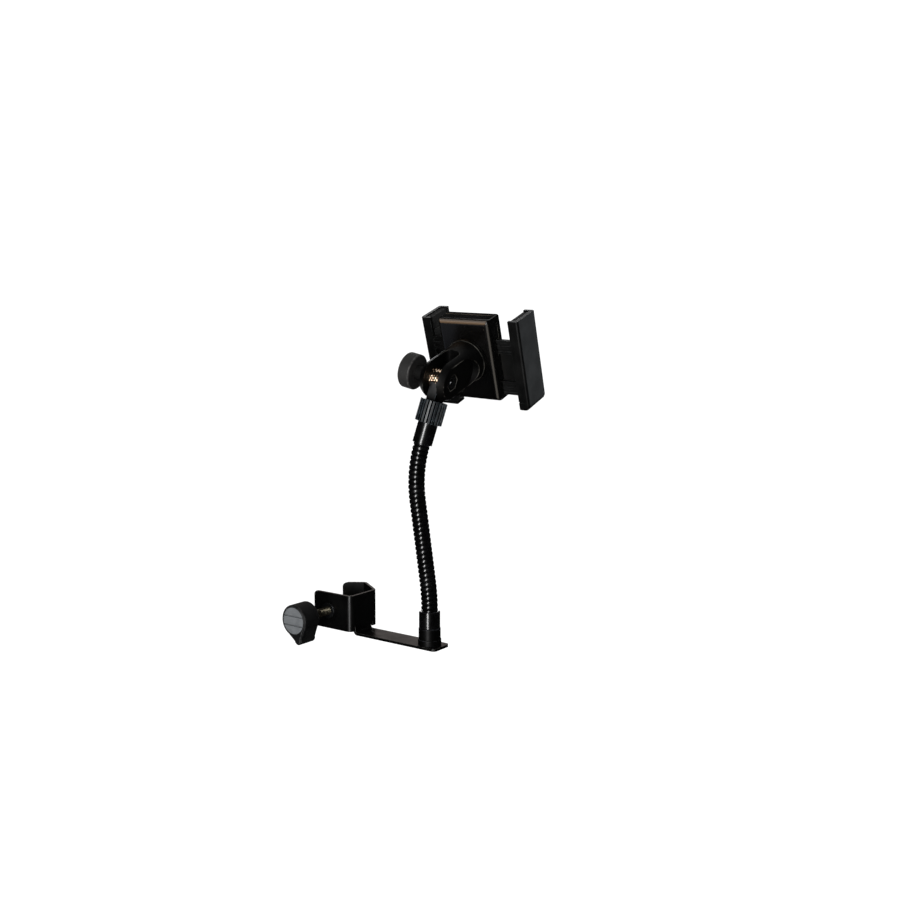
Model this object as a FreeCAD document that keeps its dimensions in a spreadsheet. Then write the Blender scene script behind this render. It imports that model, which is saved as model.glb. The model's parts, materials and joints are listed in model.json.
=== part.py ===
"""Clamp-on phone holder: stand clamp, gooseneck, tilting fork and a cradle with sliding jaws.

The origin is on the axis of the stand tube at the height of the clamp screw.
+X runs along the carrier strip, +Y from the clamp knob to the V jaw, +Z up the tube.
"""
import FreeCAD, Part
import math
import os
import re
import Sketcher

Vector = FreeCAD.Vector
Rotation = FreeCAD.Rotation
Placement = FreeCAD.Placement

# Driving sizes in millimetres and degrees, each one a cell of the size sheet
SIZES = {
    # Folded clamp bracket
    "tube_radius": 8,
    "sheet": 2.5,
    "plate_height": 34,
    "plate_left": 18,
    "front_face": 42.5,
    "web_face": 28.1,
    "vee_angle": 34,
    "bend_radius": 3,
    "vee_radius": 2,
    "corner_radius": 4,
    "strip_width": 23,
    "strip_mid": 25,
    "strip_drop": 1.3,
    "strip_end": 120,
    "fold_radius": 2,
    "fold_lap": 4,
    "relief_width": 2,
    # Clamp screw, its insert, knob and pressure pad
    "screw_radius": 4,
    "fit_gap": 0.05,
    "insert_radius": 5.5,
    "insert_flange_radius": 7.4,
    "insert_flange": 1.2,
    "insert_bulge": 1.5,
    "insert_grip": 7,
    "knob_reach": 89.5,
    "knob_depth": 20,
    "knob_radius": 14.5,
    "knob_skin": 5,
    "knob_bevel": 1.2,
    "knob_hub_radius": 8,
    "knob_hub": 4,
    "lobe_half": 4.2,
    "lobe_reach": 22.5,
    "lobe_root": 9,
    "lobe_spread": 11,
    "lobe_angle": 16,
    "face_radius": 12.4,
    "face_depth": 1.6,
    "face_sink": 0.3,
    "groove_spacing": 8.4,
    "groove_width": 0.7,
    "groove_depth": 0.5,
    "pad_radius": 7.5,
    "pad_thickness": 5,
    "pad_bevel": 1,
    "pin_radius": 2.5,
    "pin_length": 3,
    # Foot of the gooseneck
    "neck_x": 106,
    "base_screw_radius": 4,
    "base_screw_reach": 12,
    "base_head_radius": 5,
    "base_head": 3,
    "base_head_bevel": 1.2,
    "hole_gap": 0.2,
    "collar_foot_radius": 10.5,
    "collar_foot": 5,
    "collar_radius": 9.9,
    "collar_height": 15.5,
    "collar_chamfer": 0.6,
    "ferrule_radius": 9.5,
    "ferrule_height": 15.4,
    "ferrule_bevel": 1.5,
    "neck_grip": 10,
    # Gooseneck
    "neck_radius": 7.5,
    "neck_groove": 0.9,
    "neck_pitch": 4.2,
    "neck_sides": 14,
    "neck_heading": 35.8,
    "neck_low_bend": 220,
    "neck_low_lean": 6.9,
    "neck_run": 73.2,
    "neck_top_bend": 126,
    "neck_top_lean": 16.2,
    # Head of the gooseneck
    "head_ferrule_radius": 9,
    "head_ferrule": 19.1,
    "stud_radius": 7,
    "stud_reach": 13,
    "socket_radius": 12.1,
    "socket_height": 19.8,
    "rib_depth": 0.9,
    "rib_width": 1.7,
    "rib_count": 24,
    "stem_thick": 8.6,
    "stem_depth": 16,
    "stem_height": 19.6,
    # Tilting fork
    "barrel_radius": 9,
    "barrel_gap": 0.3,
    "bolt_radius": 4,
    "fork_gap": 14,
    "ear_thick": 5.5,
    "slot_floor": 22,
    "slot_round": 4,
    "flat_end": 19,
    "throat_radius": 19.2,
    "disc_radius": 20,
    "disc_thick": 4,
    "pivot_reach": 45.2,
    "swivel_gap": 0.3,
    "nut_flats": 13,
    "nut_thick": 3.6,
    "nut_sink": 0.4,
    "grip_hub_radius": 7,
    "grip_hub": 11.2,
    "grip_gap": 0.3,
    "grip_radius": 16,
    "grip_thick": 12,
    "grip_bevel": 1.5,
    "grip_skin": 2.5,
    "swivel_radius": 3,
    "swivel_head_radius": 5.5,
    "swivel_head": 4,
    "swivel_nut_flats": 10,
    "swivel_nut": 3.4,
    # Phone cradle
    "cradle_tilt": 22.2,
    "cradle_roll": 4,
    "box_width": 55,
    "box_height": 78,
    "box_drop": 1,
    "box_corner": 2,
    "box_wall": 2.2,
    "housing_depth": 14,
    "housing_round": 5,
    "plate_depth": 6,
    "plate_bevel": 1.2,
    "front_pad_width": 42,
    "front_pad_height": 62,
    "front_pad_sink": 0.8,
    "front_pad_proud": 1.2,
    "front_pad_corner": 4,
    "boss_x": 20,
    "boss_z": 28,
    "boss_radius": 3.2,
    "box_screw_radius": 1.4,
    "box_screw_head_radius": 2.6,
    "box_screw_head": 2,
    "box_screw_reach": 6,
    # Sliding jaws
    "jaw_out": 51.9,
    "jaw_in": 41.4,
    "jaw_wall": 3.9,
    "jaw_flange": 3,
    "jaw_lip": 3,
    "jaw_rear": 9.3,
    "jaw_front": 41,
    "jaw_top": 34.8,
    "jaw_bottom": 51.5,
    "jaw_floor": 3,
    "jaw_edge": 2.5,
    "jaw_corner": 6,
    "rail_tip": 14,
    "rail_thick": 3.6,
    "rail_height": 13,
    "rail_upper": 10.2,
    "rail_lower": 29.5,
    "rail_ridge": 2.6,
    "rail_groove": 0.8,
    "rail_gap": 0.3,
    "web_thick": 0.9,
    "foot_height": 8,
    "foot_line": 1,
    "foot_tip": 27,
    "foot_depth": 12,
    "jaw_pad": 6,
    "jaw_pad_gap": 1,
    "jaw_pad_ridge": 6,
    "jaw_pad_groove": 1.2,
    # Synchronising racks and pinion
    "gear_drop": 11.5,
    "gear_teeth": 9,
    "tooth_module": 1,
    "tooth_tip": 0.8,
    "tooth_root": 1,
    "tooth_land": 0.5,
    "tooth_flank": 1.4,
    "rack_thick": 2.4,
    "rack_bar": 2.2,
    "rack_back": 18,
    "rack_ahead": 10,
    "rack_link": 5,
    "post_radius": 2,
    "gear_gap": 0.2,
}

# Places that several pieces share, as expressions of the sizes
APEX_OUT = "(tube_radius + sheet) / cos(vee_angle)"
APEX_IN = "tube_radius / cos(vee_angle)"
DECK = "-(plate_height / 2 + strip_drop)"
PAD_BACK = "-(tube_radius + pad_thickness)"
EAR_OUT = "(fork_gap / 2 + ear_thick)"
FORK_END = "(pivot_reach - swivel_gap)"
BOX_DEPTH = "(housing_depth + plate_depth)"
PITCH_RADIUS = "(gear_teeth * tooth_module / 2)"

doc = FreeCAD.newDocument("PhoneHolder")
sheet = doc.addObject("Spreadsheet::Sheet", "Size")
for row, (alias, value) in enumerate(SIZES.items(), start=1):
    sheet.set("A%d" % row, alias)
    sheet.set("B%d" % row, str(value))
    sheet.setAlias("B%d" % row, alias)
doc.recompute()


def full(text):
    """Return an expression with each size written as a cell of the sheet."""
    return re.sub(r"[a-z_]+", lambda m: "Size." + m.group(0) if m.group(0) in SIZES else m.group(0), text)


def number(text):
    """Return the value of an expression of the sizes."""
    found = sheet.evalExpression(full(text))
    return float(getattr(found, "Value", found))


def bind(target, prop, text):
    """Bind a property to an expression of the sizes."""
    target.setExpression(prop, full(text))


# Sketches and features


def sketch(body, plane, offset="0"):
    """Return a new sketch on one of the body's own planes, moved along its normal."""
    made = body.newObject("Sketcher::SketchObject", "Sketch_of_" + body.Name)
    role = plane + "_Plane"
    support = [item for item in body.Origin.OriginFeatures if item.Role == role][0]
    made.AttachmentSupport = [(support, "")]
    made.MapMode = "FlatFace"
    if offset != "0":
        bind(made, "AttachmentOffset.Base.z", offset)
    return made


def fix_point(made, geometry, position, point):
    """Tie a point of a sketch to its two coordinates."""
    for kind, axis, text in (("DistanceX", -2, point[0]), ("DistanceY", -1, point[1])):
        if text == "0":
            made.addConstraint(Sketcher.Constraint("PointOnObject", geometry, position, axis))
            continue
        index = made.addConstraint(Sketcher.Constraint(kind, -1, 1, geometry, position, number(text)))
        bind(made, "Constraints[%d]" % index, text)


def polygon(made, points):
    """Draw a closed outline through points given as pairs of expressions."""
    places = [Vector(number(x), number(y), 0) for x, y in points]
    first = made.GeometryCount
    count = len(points)
    for index in range(count):
        made.addGeometry(Part.LineSegment(places[index], places[(index + 1) % count]))
    for index in range(count):
        following = first + (index + 1) % count
        made.addConstraint(Sketcher.Constraint("Coincident", first + index, 2, following, 1))
    for index in range(count):
        fix_point(made, first + index, 1, points[index])


def rectangle(made, left, bottom, right, top):
    """Draw an upright rectangle between two corners."""
    polygon(made, [(left, bottom), (right, bottom), (right, top), (left, top)])


def circle(made, x, y, radius):
    """Draw a circle about a point."""
    centre = Vector(number(x), number(y), 0)
    index = made.addGeometry(Part.Circle(centre, Vector(0, 0, 1), number(radius)))
    fix_point(made, index, 3, (x, y))
    rule = made.addConstraint(Sketcher.Constraint("Radius", index, number(radius)))
    bind(made, "Constraints[%d]" % rule, radius)


def hexagon(made, flats):
    """Draw a hexagon about the origin by its width across flats."""
    corners = []
    for step in range(6):
        reach = "(%s) / sqrt(3)" % flats
        corners.append(("%s * cos(%d)" % (reach, 60 * step), "%s * sin(%d)" % (reach, 60 * step)))
    corners[0] = (corners[0][0], "0")
    corners[3] = (corners[3][0], "0")
    polygon(made, corners)


def layer(body, kind, plane, low, high, draw):
    """Add or cut the drawn outline between two heights along the plane's axis."""
    along = "-(%s)" % high if plane == "XZ" else low
    made = sketch(body, plane, along)
    draw(made)
    feature = body.newObject("PartDesign::" + kind, kind + "_of_" + body.Name)
    feature.Profile = made
    bind(feature, "Length", "(%s) - (%s)" % (high, low))
    feature.Reversed = kind == "Pocket"
    doc.recompute()
    return feature


def pad(body, plane, low, high, draw):
    """Add material between two heights."""
    return layer(body, "Pad", plane, low, high, draw)


def pocket(body, plane, low, high, draw):
    """Cut material between two heights, and make sure that some was there."""
    before = body.Shape.Volume
    feature = layer(body, "Pocket", plane, low, high, draw)
    if body.Shape.Volume > before - 1e-6:
        raise RuntimeError("a pocket of %s cuts nothing" % body.Label)
    return feature


def spin(body, made):
    """Turn a drawn outline about its sketch's vertical axis."""
    feature = body.newObject("PartDesign::Revolution", "Turn_of_" + body.Name)
    feature.Profile = made
    feature.ReferenceAxis = (made, ["V_Axis"])
    feature.Angle = 360
    doc.recompute()
    return feature


def turn(body, points):
    """Turn an outline of radius and height pairs about the body's Z axis."""
    made = sketch(body, "XZ")
    polygon(made, points)
    return spin(body, made)


def repeat(body, feature, axis, count):
    """Repeat a feature evenly about an axis of the body."""
    made = body.newObject("PartDesign::PolarPattern", "Pattern_of_" + body.Name)
    made.Originals = [feature]
    made.Axis = ([item for item in body.Origin.OriginFeatures if item.Role == axis + "_Axis"][0], [""])
    made.Angle = 360
    bind(made, "Occurrences", count)
    body.Tip = made
    doc.recompute()
    return made


def trim(body, kind, prop, size, chosen):
    """Round or flatten the chosen edges of a body."""
    names = []
    for index, edge in enumerate(body.Shape.Edges, start=1):
        if edge.Degenerated:
            continue
        low, high = edge.ParameterRange
        middle = edge.valueAt((low + high) / 2)
        local = body.Placement.inverse().multVec(middle)
        if chosen(local, edge):
            names.append("Edge%d" % index)
    if not names:
        raise RuntimeError("no edge of %s to trim" % body.Label)
    base = body.Tip
    made = body.newObject("PartDesign::" + kind, kind + "_of_" + body.Name)
    made.Base = (base, names)
    bind(made, prop, size)
    doc.recompute()
    return made


def bevel(body, size, chosen):
    """Cut a small flat on the edges that the test picks by their middle and direction."""
    return trim(body, "Chamfer", "Size", size, chosen)


def soften(body, radius, chosen):
    """Round the edges that the test picks by their middle and direction."""
    return trim(body, "Fillet", "Radius", radius, chosen)


def near(value, text):
    """Say whether a coordinate lies at an expression's value."""
    return abs(value - number(text)) < 1e-4


def upright(edge):
    """Say whether an edge is a straight line along Z."""
    return edge.Curve.TypeId == "Part::GeomLine" and abs(edge.Curve.Direction.z) > 0.999


def level(edge):
    """Say whether an edge is a straight line along Y."""
    return edge.Curve.TypeId == "Part::GeomLine" and abs(edge.Curve.Direction.y) > 0.999


pieces = []


def new_body(label):
    """Return a new body that is written out under its label."""
    body = doc.addObject("PartDesign::Body", label)
    body.Label = label
    pieces.append(body)
    return body


# Frames of the sub-assemblies, worked out from the sizes


def frame(origin, x_axis, y_axis, z_axis):
    """Return a placement from an origin and three axes."""
    matrix = FreeCAD.Matrix(
        x_axis.x, y_axis.x, z_axis.x, origin.x,
        x_axis.y, y_axis.y, z_axis.y, origin.y,
        x_axis.z, y_axis.z, z_axis.z, origin.z,
        0, 0, 0, 1)
    return Placement(matrix)


def neck_line():
    """Return the neck's stretches as length, bend radius and lean at the start, in degrees."""
    low_lean = -number("neck_low_lean")
    top_lean = number("neck_top_lean")
    low_bend = number("neck_low_bend")
    top_bend = number("neck_top_bend")
    return [
        (number("neck_grip"), 0.0, 0.0),
        (low_bend * math.radians(-low_lean), -low_bend, 0.0),
        (number("neck_run"), 0.0, low_lean),
        (top_bend * math.radians(top_lean - low_lean), top_bend, low_lean),
        (number("neck_grip"), 0.0, top_lean),
    ]


def neck_length():
    """Return the length of the neck's centre line."""
    return sum(stretch[0] for stretch in neck_line())


def neck_state(distance):
    """Return how far along, how far up and at what lean the neck is after a distance."""
    along = 0.0
    up = 0.0
    lean = 0.0
    for length, bend, start in neck_line():
        step = min(distance, length)
        lean = math.radians(start)
        if bend:
            after = lean + step / bend
            along += bend * (math.cos(lean) - math.cos(after))
            up += bend * (math.sin(after) - math.sin(lean))
            lean = after
        else:
            along += step * math.sin(lean)
            up += step * math.cos(lean)
        distance -= step
        if distance <= 0:
            break
    return along, up, lean


HEADING = math.radians(number("neck_heading"))
SIDEWAYS = Vector(math.cos(HEADING), math.sin(HEADING), 0)
UP = Vector(0, 0, 1)
FOOT = Vector(number("neck_x"), -number("strip_mid"), number(DECK))
NECK_START = FOOT + UP * number("collar_height + ferrule_height - neck_grip")


def neck_point(distance):
    """Return the centre and the direction of the neck after a distance."""
    along, up, lean = neck_state(distance)
    centre = NECK_START + SIDEWAYS * along + UP * up
    return centre, SIDEWAYS * math.sin(lean) + UP * math.cos(lean)


TILT = math.radians(number("cradle_tilt"))
OUTWARD = Vector(0, math.cos(TILT), math.sin(TILT))
HEAD_START, HEAD_UP = neck_point(neck_length() - number("neck_grip"))
BOLT = OUTWARD.cross(HEAD_UP).normalize()
PIVOT = HEAD_START + HEAD_UP * number("head_ferrule + socket_height + stem_height")
BACK = PIVOT + OUTWARD * number("pivot_reach")
ROLL = Rotation(OUTWARD, number("cradle_roll"))
WIDTH = ROLL.multVec(Vector(1, 0, 0))

FOOT_FRAME = Placement(FOOT, Rotation())
HEAD_FRAME = frame(HEAD_START, BOLT, HEAD_UP.cross(BOLT), HEAD_UP)
FORK_FRAME = frame(PIVOT, BOLT, OUTWARD, BOLT.cross(OUTWARD))
CRADLE_FRAME = frame(BACK, WIDTH, OUTWARD, WIDTH.cross(OUTWARD))
ALONG_X = Placement(Vector(), Rotation(Vector(0, 0, 1), Vector(1, 0, 0)))
ALONG_Y = Placement(Vector(), Rotation(Vector(0, 0, 1), Vector(0, 1, 0)))


# Stand clamp


def clamp_bracket():
    """Fold one sheet into the front plate, the web, the V jaw and the carrier strip."""
    body = new_body("clamp_bracket")
    half = "plate_height / 2"
    web_inner = "web_face - sheet"
    strip_low = "-(strip_mid + strip_width / 2)"
    strip_high = "-(strip_mid - strip_width / 2)"
    slope = "tan(vee_angle)"

    def section(made):
        """Draw the folded section seen from above."""
        polygon(made, [
            ("-plate_left", "-front_face"),
            ("web_face", "-front_face"),
            ("web_face", "%s - web_face * %s" % (APEX_OUT, slope)),
            ("0", APEX_OUT),
            ("-plate_left", "%s - plate_left * %s" % (APEX_OUT, slope)),
            ("-plate_left", "%s - plate_left * %s" % (APEX_IN, slope)),
            ("0", APEX_IN),
            (web_inner, "%s - (%s) * %s" % (APEX_IN, web_inner, slope)),
            (web_inner, "-front_face + sheet"),
            ("-plate_left", "-front_face + sheet"),
        ])

    def strip(made):
        """Draw the fold at the foot of the web and the strip seen from the front."""
        polygon(made, [
            (web_inner, "-%s + fold_lap" % half),
            ("web_face", "-%s + fold_lap" % half),
            ("web_face", DECK),
            ("strip_end", DECK),
            ("strip_end", "%s - sheet" % DECK),
            (web_inner, "%s - sheet" % DECK),
        ])

    pad(body, "XY", "-" + half, half, section)
    for edge_y in (strip_low + " - relief_width", strip_high):
        pocket(body, "YZ", "%s - 1" % web_inner, "web_face + 1", lambda made, y=edge_y: rectangle(
            made, y, "-%s - 1" % half, "%s + relief_width" % y, "-%s + fold_lap" % half))
    pad(body, "XZ", strip_low, strip_high, strip)
    outer_bends = (("web_face", "-front_face"), ("web_face", "%s - web_face * %s" % (APEX_OUT, slope)))
    inner_bends = ((web_inner, "-front_face + sheet"),
                   (web_inner, "%s - (%s) * %s" % (APEX_IN, web_inner, slope)))
    soften(body, "bend_radius + sheet", lambda at, edge: upright(edge) and any(
        near(at.x, x) and near(at.y, y) for x, y in outer_bends))
    soften(body, "bend_radius", lambda at, edge: upright(edge) and any(
        near(at.x, x) and near(at.y, y) for x, y in inner_bends))
    soften(body, "vee_radius + sheet", lambda at, edge: (
        upright(edge) and near(at.x, "0") and near(at.y, APEX_OUT)))
    soften(body, "vee_radius", lambda at, edge: upright(edge) and near(at.x, "0") and near(at.y, APEX_IN))
    soften(body, "fold_radius", lambda at, edge: level(edge) and near(at.x, "web_face") and near(at.z, DECK))
    soften(body, "fold_radius + sheet", lambda at, edge: (
        level(edge) and near(at.x, web_inner) and near(at.z, "%s - sheet" % DECK)))
    soften(body, "corner_radius", lambda at, edge: level(edge) and near(at.x, "-plate_left"))
    soften(body, "corner_radius", lambda at, edge: upright(edge) and near(at.x, "strip_end"))
    pocket(body, "XZ", "-front_face - 1", "-front_face + sheet + 1", lambda made: circle(
        made, "0", "0", "insert_radius + fit_gap"))
    pocket(body, "XY", "%s - sheet - 1" % DECK, "%s + 1" % DECK, lambda made: circle(
        made, "neck_x", "-strip_mid", "base_screw_radius + hole_gap"))


def rivet_nut():
    """Turn the threaded insert that is riveted into the front plate."""
    body = new_body("rivet_nut")
    bore = "screw_radius + fit_gap"
    plate_in = "-front_face + sheet"
    turn(body, [
        (bore, "-front_face - insert_flange"),
        ("insert_flange_radius", "-front_face - insert_flange"),
        ("insert_flange_radius", "-front_face"),
        ("insert_radius", "-front_face"),
        ("insert_radius", plate_in),
        ("insert_radius + insert_bulge", plate_in),
        ("insert_radius + insert_bulge", plate_in + " + insert_bulge"),
        ("insert_radius", plate_in + " + 2 * insert_bulge"),
        ("insert_radius", plate_in + " + insert_grip"),
        (bore, plate_in + " + insert_grip"),
    ])
    body.Placement = ALONG_Y


def clamp_screw():
    """Turn the clamp screw with the pin that carries the pressure pad."""
    body = new_body("clamp_screw")
    shoulder = PAD_BACK + " - fit_gap"
    turn(body, [
        ("0", "-knob_reach + knob_skin"),
        ("screw_radius", "-knob_reach + knob_skin"),
        ("screw_radius", shoulder),
        ("pin_radius", shoulder),
        ("pin_radius", shoulder + " + pin_length"),
        ("0", shoulder + " + pin_length"),
    ])
    body.Placement = ALONG_Y


def clamp_knob():
    """Mould the round knob with its one lobe and the recess for its face."""
    body = new_body("clamp_knob")
    front = "-knob_reach"
    back = "-knob_reach + knob_depth"
    lobe_centre = "-(lobe_reach - lobe_half)"
    pad(body, "XZ", front, back, lambda made: circle(made, "0", "0", "knob_radius"))
    pad(body, "XZ", front, back, lambda made: polygon(made, [
        ("-lobe_half", lobe_centre), ("lobe_half", lobe_centre), ("lobe_spread", "-lobe_root"),
        ("0", "0"), ("-lobe_spread", "-lobe_root")]))
    pad(body, "XZ", front, back, lambda made: circle(made, "0", lobe_centre, "lobe_half"))
    bevel(body, "knob_bevel", lambda at, edge: near(at.y, front) or near(at.y, back))
    pad(body, "XZ", back, back + " + knob_hub", lambda made: circle(made, "0", "0", "knob_hub_radius"))
    pocket(body, "XZ", front + " - 1", front + " + face_depth", lambda made: circle(
        made, "0", "0", "face_radius + fit_gap"))
    pocket(body, "XZ", front + " + knob_skin", back + " + knob_hub + 1", lambda made: circle(
        made, "0", "0", "screw_radius + fit_gap"))
    body.Placement = Placement(Vector(), Rotation(Vector(0, 1, 0), -number("lobe_angle")))


def knob_face():
    """Mould the disc that is let into the clamp knob, with two fine grooves."""
    body = new_body("knob_face")
    front = "-knob_reach + face_sink"
    pad(body, "XZ", front, "-knob_reach + face_depth", lambda made: circle(made, "0", "0", "face_radius"))
    for side in ("", "-"):
        middle = "%s groove_spacing / 2" % side
        pocket(body, "XZ", front + " - 1", front + " + groove_depth", lambda made, z=middle: rectangle(
            made, "-face_radius - 1", "%s - groove_width / 2" % z,
            "face_radius + 1", "%s + groove_width / 2" % z))


def pressure_pad():
    """Turn the pad that the screw presses on the stand tube."""
    body = new_body("pressure_pad")
    socket = "pin_radius + fit_gap"
    socket_end = PAD_BACK + " + pin_length + fit_gap"
    turn(body, [
        (socket, PAD_BACK),
        ("pad_radius", PAD_BACK),
        ("pad_radius", "-tube_radius - pad_bevel"),
        ("pad_radius - pad_bevel", "-tube_radius"),
        ("0", "-tube_radius"),
        ("0", socket_end),
        (socket, socket_end),
    ])
    body.Placement = ALONG_Y


# Foot of the gooseneck


def base_screw():
    """Turn the screw that holds the gooseneck from below the strip."""
    body = new_body("base_screw")
    seat = "-sheet"
    turn(body, [
        ("0", seat + " - base_head"),
        ("base_head_radius - base_head_bevel", seat + " - base_head"),
        ("base_head_radius", seat + " - base_head + base_head_bevel"),
        ("base_head_radius", seat),
        ("base_screw_radius", seat),
        ("base_screw_radius", "base_screw_reach"),
        ("0", "base_screw_reach"),
    ])
    body.Placement = FOOT_FRAME


def lower_collar():
    """Turn the stepped collar that stands on the strip."""
    body = new_body("lower_collar")
    bore = "base_screw_radius + fit_gap"
    bore_end = "base_screw_reach + hole_gap"
    turn(body, [
        (bore, "0"),
        ("collar_foot_radius", "0"),
        ("collar_foot_radius", "collar_foot"),
        ("collar_radius", "collar_foot + collar_chamfer"),
        ("collar_radius", "collar_height - collar_chamfer"),
        ("collar_radius - collar_chamfer", "collar_height"),
        ("0", "collar_height"),
        ("0", bore_end),
        (bore, bore_end),
    ])
    body.Placement = FOOT_FRAME


def lower_ferrule():
    """Turn the ferrule that grips the lower end of the gooseneck."""
    body = new_body("lower_ferrule")
    top = "collar_height + ferrule_height"
    bore = "neck_radius + fit_gap"
    turn(body, [
        ("0", "collar_height"),
        ("ferrule_radius", "collar_height"),
        ("ferrule_radius", top + " - ferrule_bevel"),
        ("ferrule_radius - ferrule_bevel / 4", top + " - ferrule_bevel / 4"),
        ("ferrule_radius - ferrule_bevel", top),
        (bore, top),
        (bore, top + " - neck_grip"),
        ("0", top + " - neck_grip"),
    ])
    body.Placement = FOOT_FRAME


def gooseneck():
    """Loft the corrugated neck through rings along its bent centre line."""
    crest = number("neck_radius")
    valley = crest - number("neck_groove")
    turns = int(neck_length() / number("neck_pitch"))
    pitch = neck_length() / turns
    sides = int(number("neck_sides"))
    stations = [(index * pitch / 2, crest if index % 2 else valley) for index in range(2 * turns + 1)]
    across = Vector(0, 0, 1).cross(SIDEWAYS)
    rings = []
    for distance, radius in stations:
        centre, direction = neck_point(distance)
        corners = []
        for side in range(sides):
            angle = 2 * math.pi * side / sides
            arm = across * math.cos(angle) + across.cross(direction) * math.sin(angle)
            corners.append(centre + arm * radius)
        rings.append(Part.makePolygon(corners + corners[:1]))
    made = doc.addObject("Part::Feature", "gooseneck")
    made.Label = "gooseneck"
    made.Shape = Part.makeLoft(rings, True, True)
    pieces.append(made)


# Head of the gooseneck


def upper_ferrule():
    """Turn the ferrule on the upper end of the gooseneck with its threaded stud."""
    body = new_body("upper_ferrule")
    bore = "neck_radius + fit_gap"
    turn(body, [
        (bore, "0"),
        ("head_ferrule_radius", "0"),
        ("head_ferrule_radius", "head_ferrule"),
        ("stud_radius", "head_ferrule"),
        ("stud_radius", "head_ferrule + stud_reach"),
        ("0", "head_ferrule + stud_reach"),
        ("0", "neck_grip"),
        (bore, "neck_grip"),
    ])
    body.Placement = HEAD_FRAME


def hinge_base():
    """Mould the ribbed socket and the flat stem that carries the pivot barrel."""
    body = new_body("hinge_base")
    bottom = "head_ferrule"
    top = "head_ferrule + socket_height"
    pivot = "head_ferrule + socket_height + stem_height"
    core = "socket_radius - rib_depth"
    pad(body, "XY", bottom, top, lambda made: circle(made, "0", "0", core))
    rib = pad(body, "XY", bottom, top, lambda made: rectangle(
        made, "socket_radius - 3 * rib_depth", "-rib_width / 2", "socket_radius", "rib_width / 2"))
    repeat(body, rib, "Z", "rib_count")
    pad(body, "XY", top, pivot, lambda made: rectangle(
        made, "-stem_thick / 2", "-stem_depth / 2", "stem_thick / 2", "stem_depth / 2"))
    pocket(body, "YZ", "-stem_thick / 2 - 1", "stem_thick / 2 + 1", lambda made: circle(
        made, "0", pivot, "barrel_radius + fit_gap"))
    pocket(body, "XY", bottom + " - 1", bottom + " + stud_reach + hole_gap", lambda made: circle(
        made, "0", "0", "stud_radius + fit_gap"))
    body.Placement = HEAD_FRAME


# Tilting fork


def pivot_barrel():
    """Turn the brass barrel on the stem that the fork tilts about."""
    body = new_body("pivot_barrel")
    half = "fork_gap / 2 - barrel_gap"
    bore = "bolt_radius + fit_gap"
    turn(body, [
        (bore, "-(%s)" % half),
        ("barrel_radius", "-(%s)" % half),
        ("barrel_radius", half),
        (bore, half),
    ])
    body.Placement = FORK_FRAME * ALONG_X


def pivot_fork():
    """Mould the fork: a round throat with a ball end, cut to two ears by flats and a slot."""
    body = new_body("pivot_fork")
    disc_start = FORK_END + " - disc_thick"
    slot = "fork_gap / 2"
    near_end = "-throat_radius - 1"
    beyond = "throat_radius + 1"
    profile = sketch(body, "XY")
    ball = Part.Circle(Vector(), Vector(0, 0, 1), number("throat_radius"))
    profile.addGeometry(Part.ArcOfCircle(ball, -math.pi / 2, 0))
    corners = [("throat_radius", "0"), ("throat_radius", disc_start), ("disc_radius", disc_start),
               ("disc_radius", FORK_END), ("0", FORK_END), ("0", "-throat_radius")]
    places = [Vector(number(x), number(y), 0) for x, y in corners]
    for start, stop in zip(places, places[1:]):
        profile.addGeometry(Part.LineSegment(start, stop))
    for index in range(len(corners)):
        following = (index + 1) % len(corners)
        profile.addConstraint(Sketcher.Constraint("Coincident", index, 2, following, 1))
    profile.addConstraint(Sketcher.Constraint("Coincident", 0, 3, -1, 1))
    profile.addConstraint(Sketcher.Constraint("PointOnObject", 0, 1, -2))
    for index, corner in enumerate(corners[:-1]):
        fix_point(profile, index, 2, corner)
    spin(body, profile)
    flat_radius = "sqrt(throat_radius * throat_radius - %s * %s)" % (EAR_OUT, EAR_OUT)
    for low, high in ((EAR_OUT, beyond), ("-(%s)" % beyond, "-" + EAR_OUT)):
        pocket(body, "YZ", low, high, lambda made: rectangle(made, near_end, near_end, "flat_end", beyond))
        pocket(body, "YZ", low, high, lambda made: circle(made, "flat_end", "0", flat_radius))
    pocket(body, "XZ", near_end, "slot_floor", lambda made: rectangle(
        made, "-" + slot, near_end, slot, beyond))
    soften(body, "slot_round", lambda at, edge: upright(edge) and near(at.y, "slot_floor"))
    pocket(body, "YZ", "-%s - 1" % EAR_OUT, EAR_OUT + " + 1", lambda made: circle(
        made, "0", "0", "bolt_radius + fit_gap"))
    pocket(body, "YZ", EAR_OUT + " - nut_thick - nut_sink", EAR_OUT + " + 1", lambda made: hexagon(
        made, "nut_flats + 2 * fit_gap"))
    pocket(body, "XZ", "slot_floor - 1", FORK_END + " + 1", lambda made: circle(
        made, "0", "0", "swivel_radius + fit_gap"))
    pocket(body, "XZ", "slot_floor - 1", "slot_floor + swivel_head + hole_gap", lambda made: circle(
        made, "0", "0", "swivel_head_radius + hole_gap"))
    body.Placement = FORK_FRAME


def pivot_nut():
    """Press the hexagon nut into the ear's recess."""
    body = new_body("pivot_nut")
    low = EAR_OUT + " - nut_thick - nut_sink"
    high = EAR_OUT + " - nut_sink"
    pad(body, "YZ", low, high, lambda made: hexagon(made, "nut_flats"))
    pocket(body, "YZ", low + " - 1", high + " + 1", lambda made: circle(
        made, "0", "0", "bolt_radius + fit_gap"))
    body.Placement = FORK_FRAME


def pivot_bolt():
    """Turn the bolt that runs from the pivot knob through both ears into the nut."""
    body = new_body("pivot_bolt")
    start = "-(%s + grip_gap + grip_hub + grip_thick - grip_skin)" % EAR_OUT
    turn(body, [("0", start), ("bolt_radius", start), ("bolt_radius", EAR_OUT), ("0", EAR_OUT)])
    body.Placement = FORK_FRAME * ALONG_X


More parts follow.
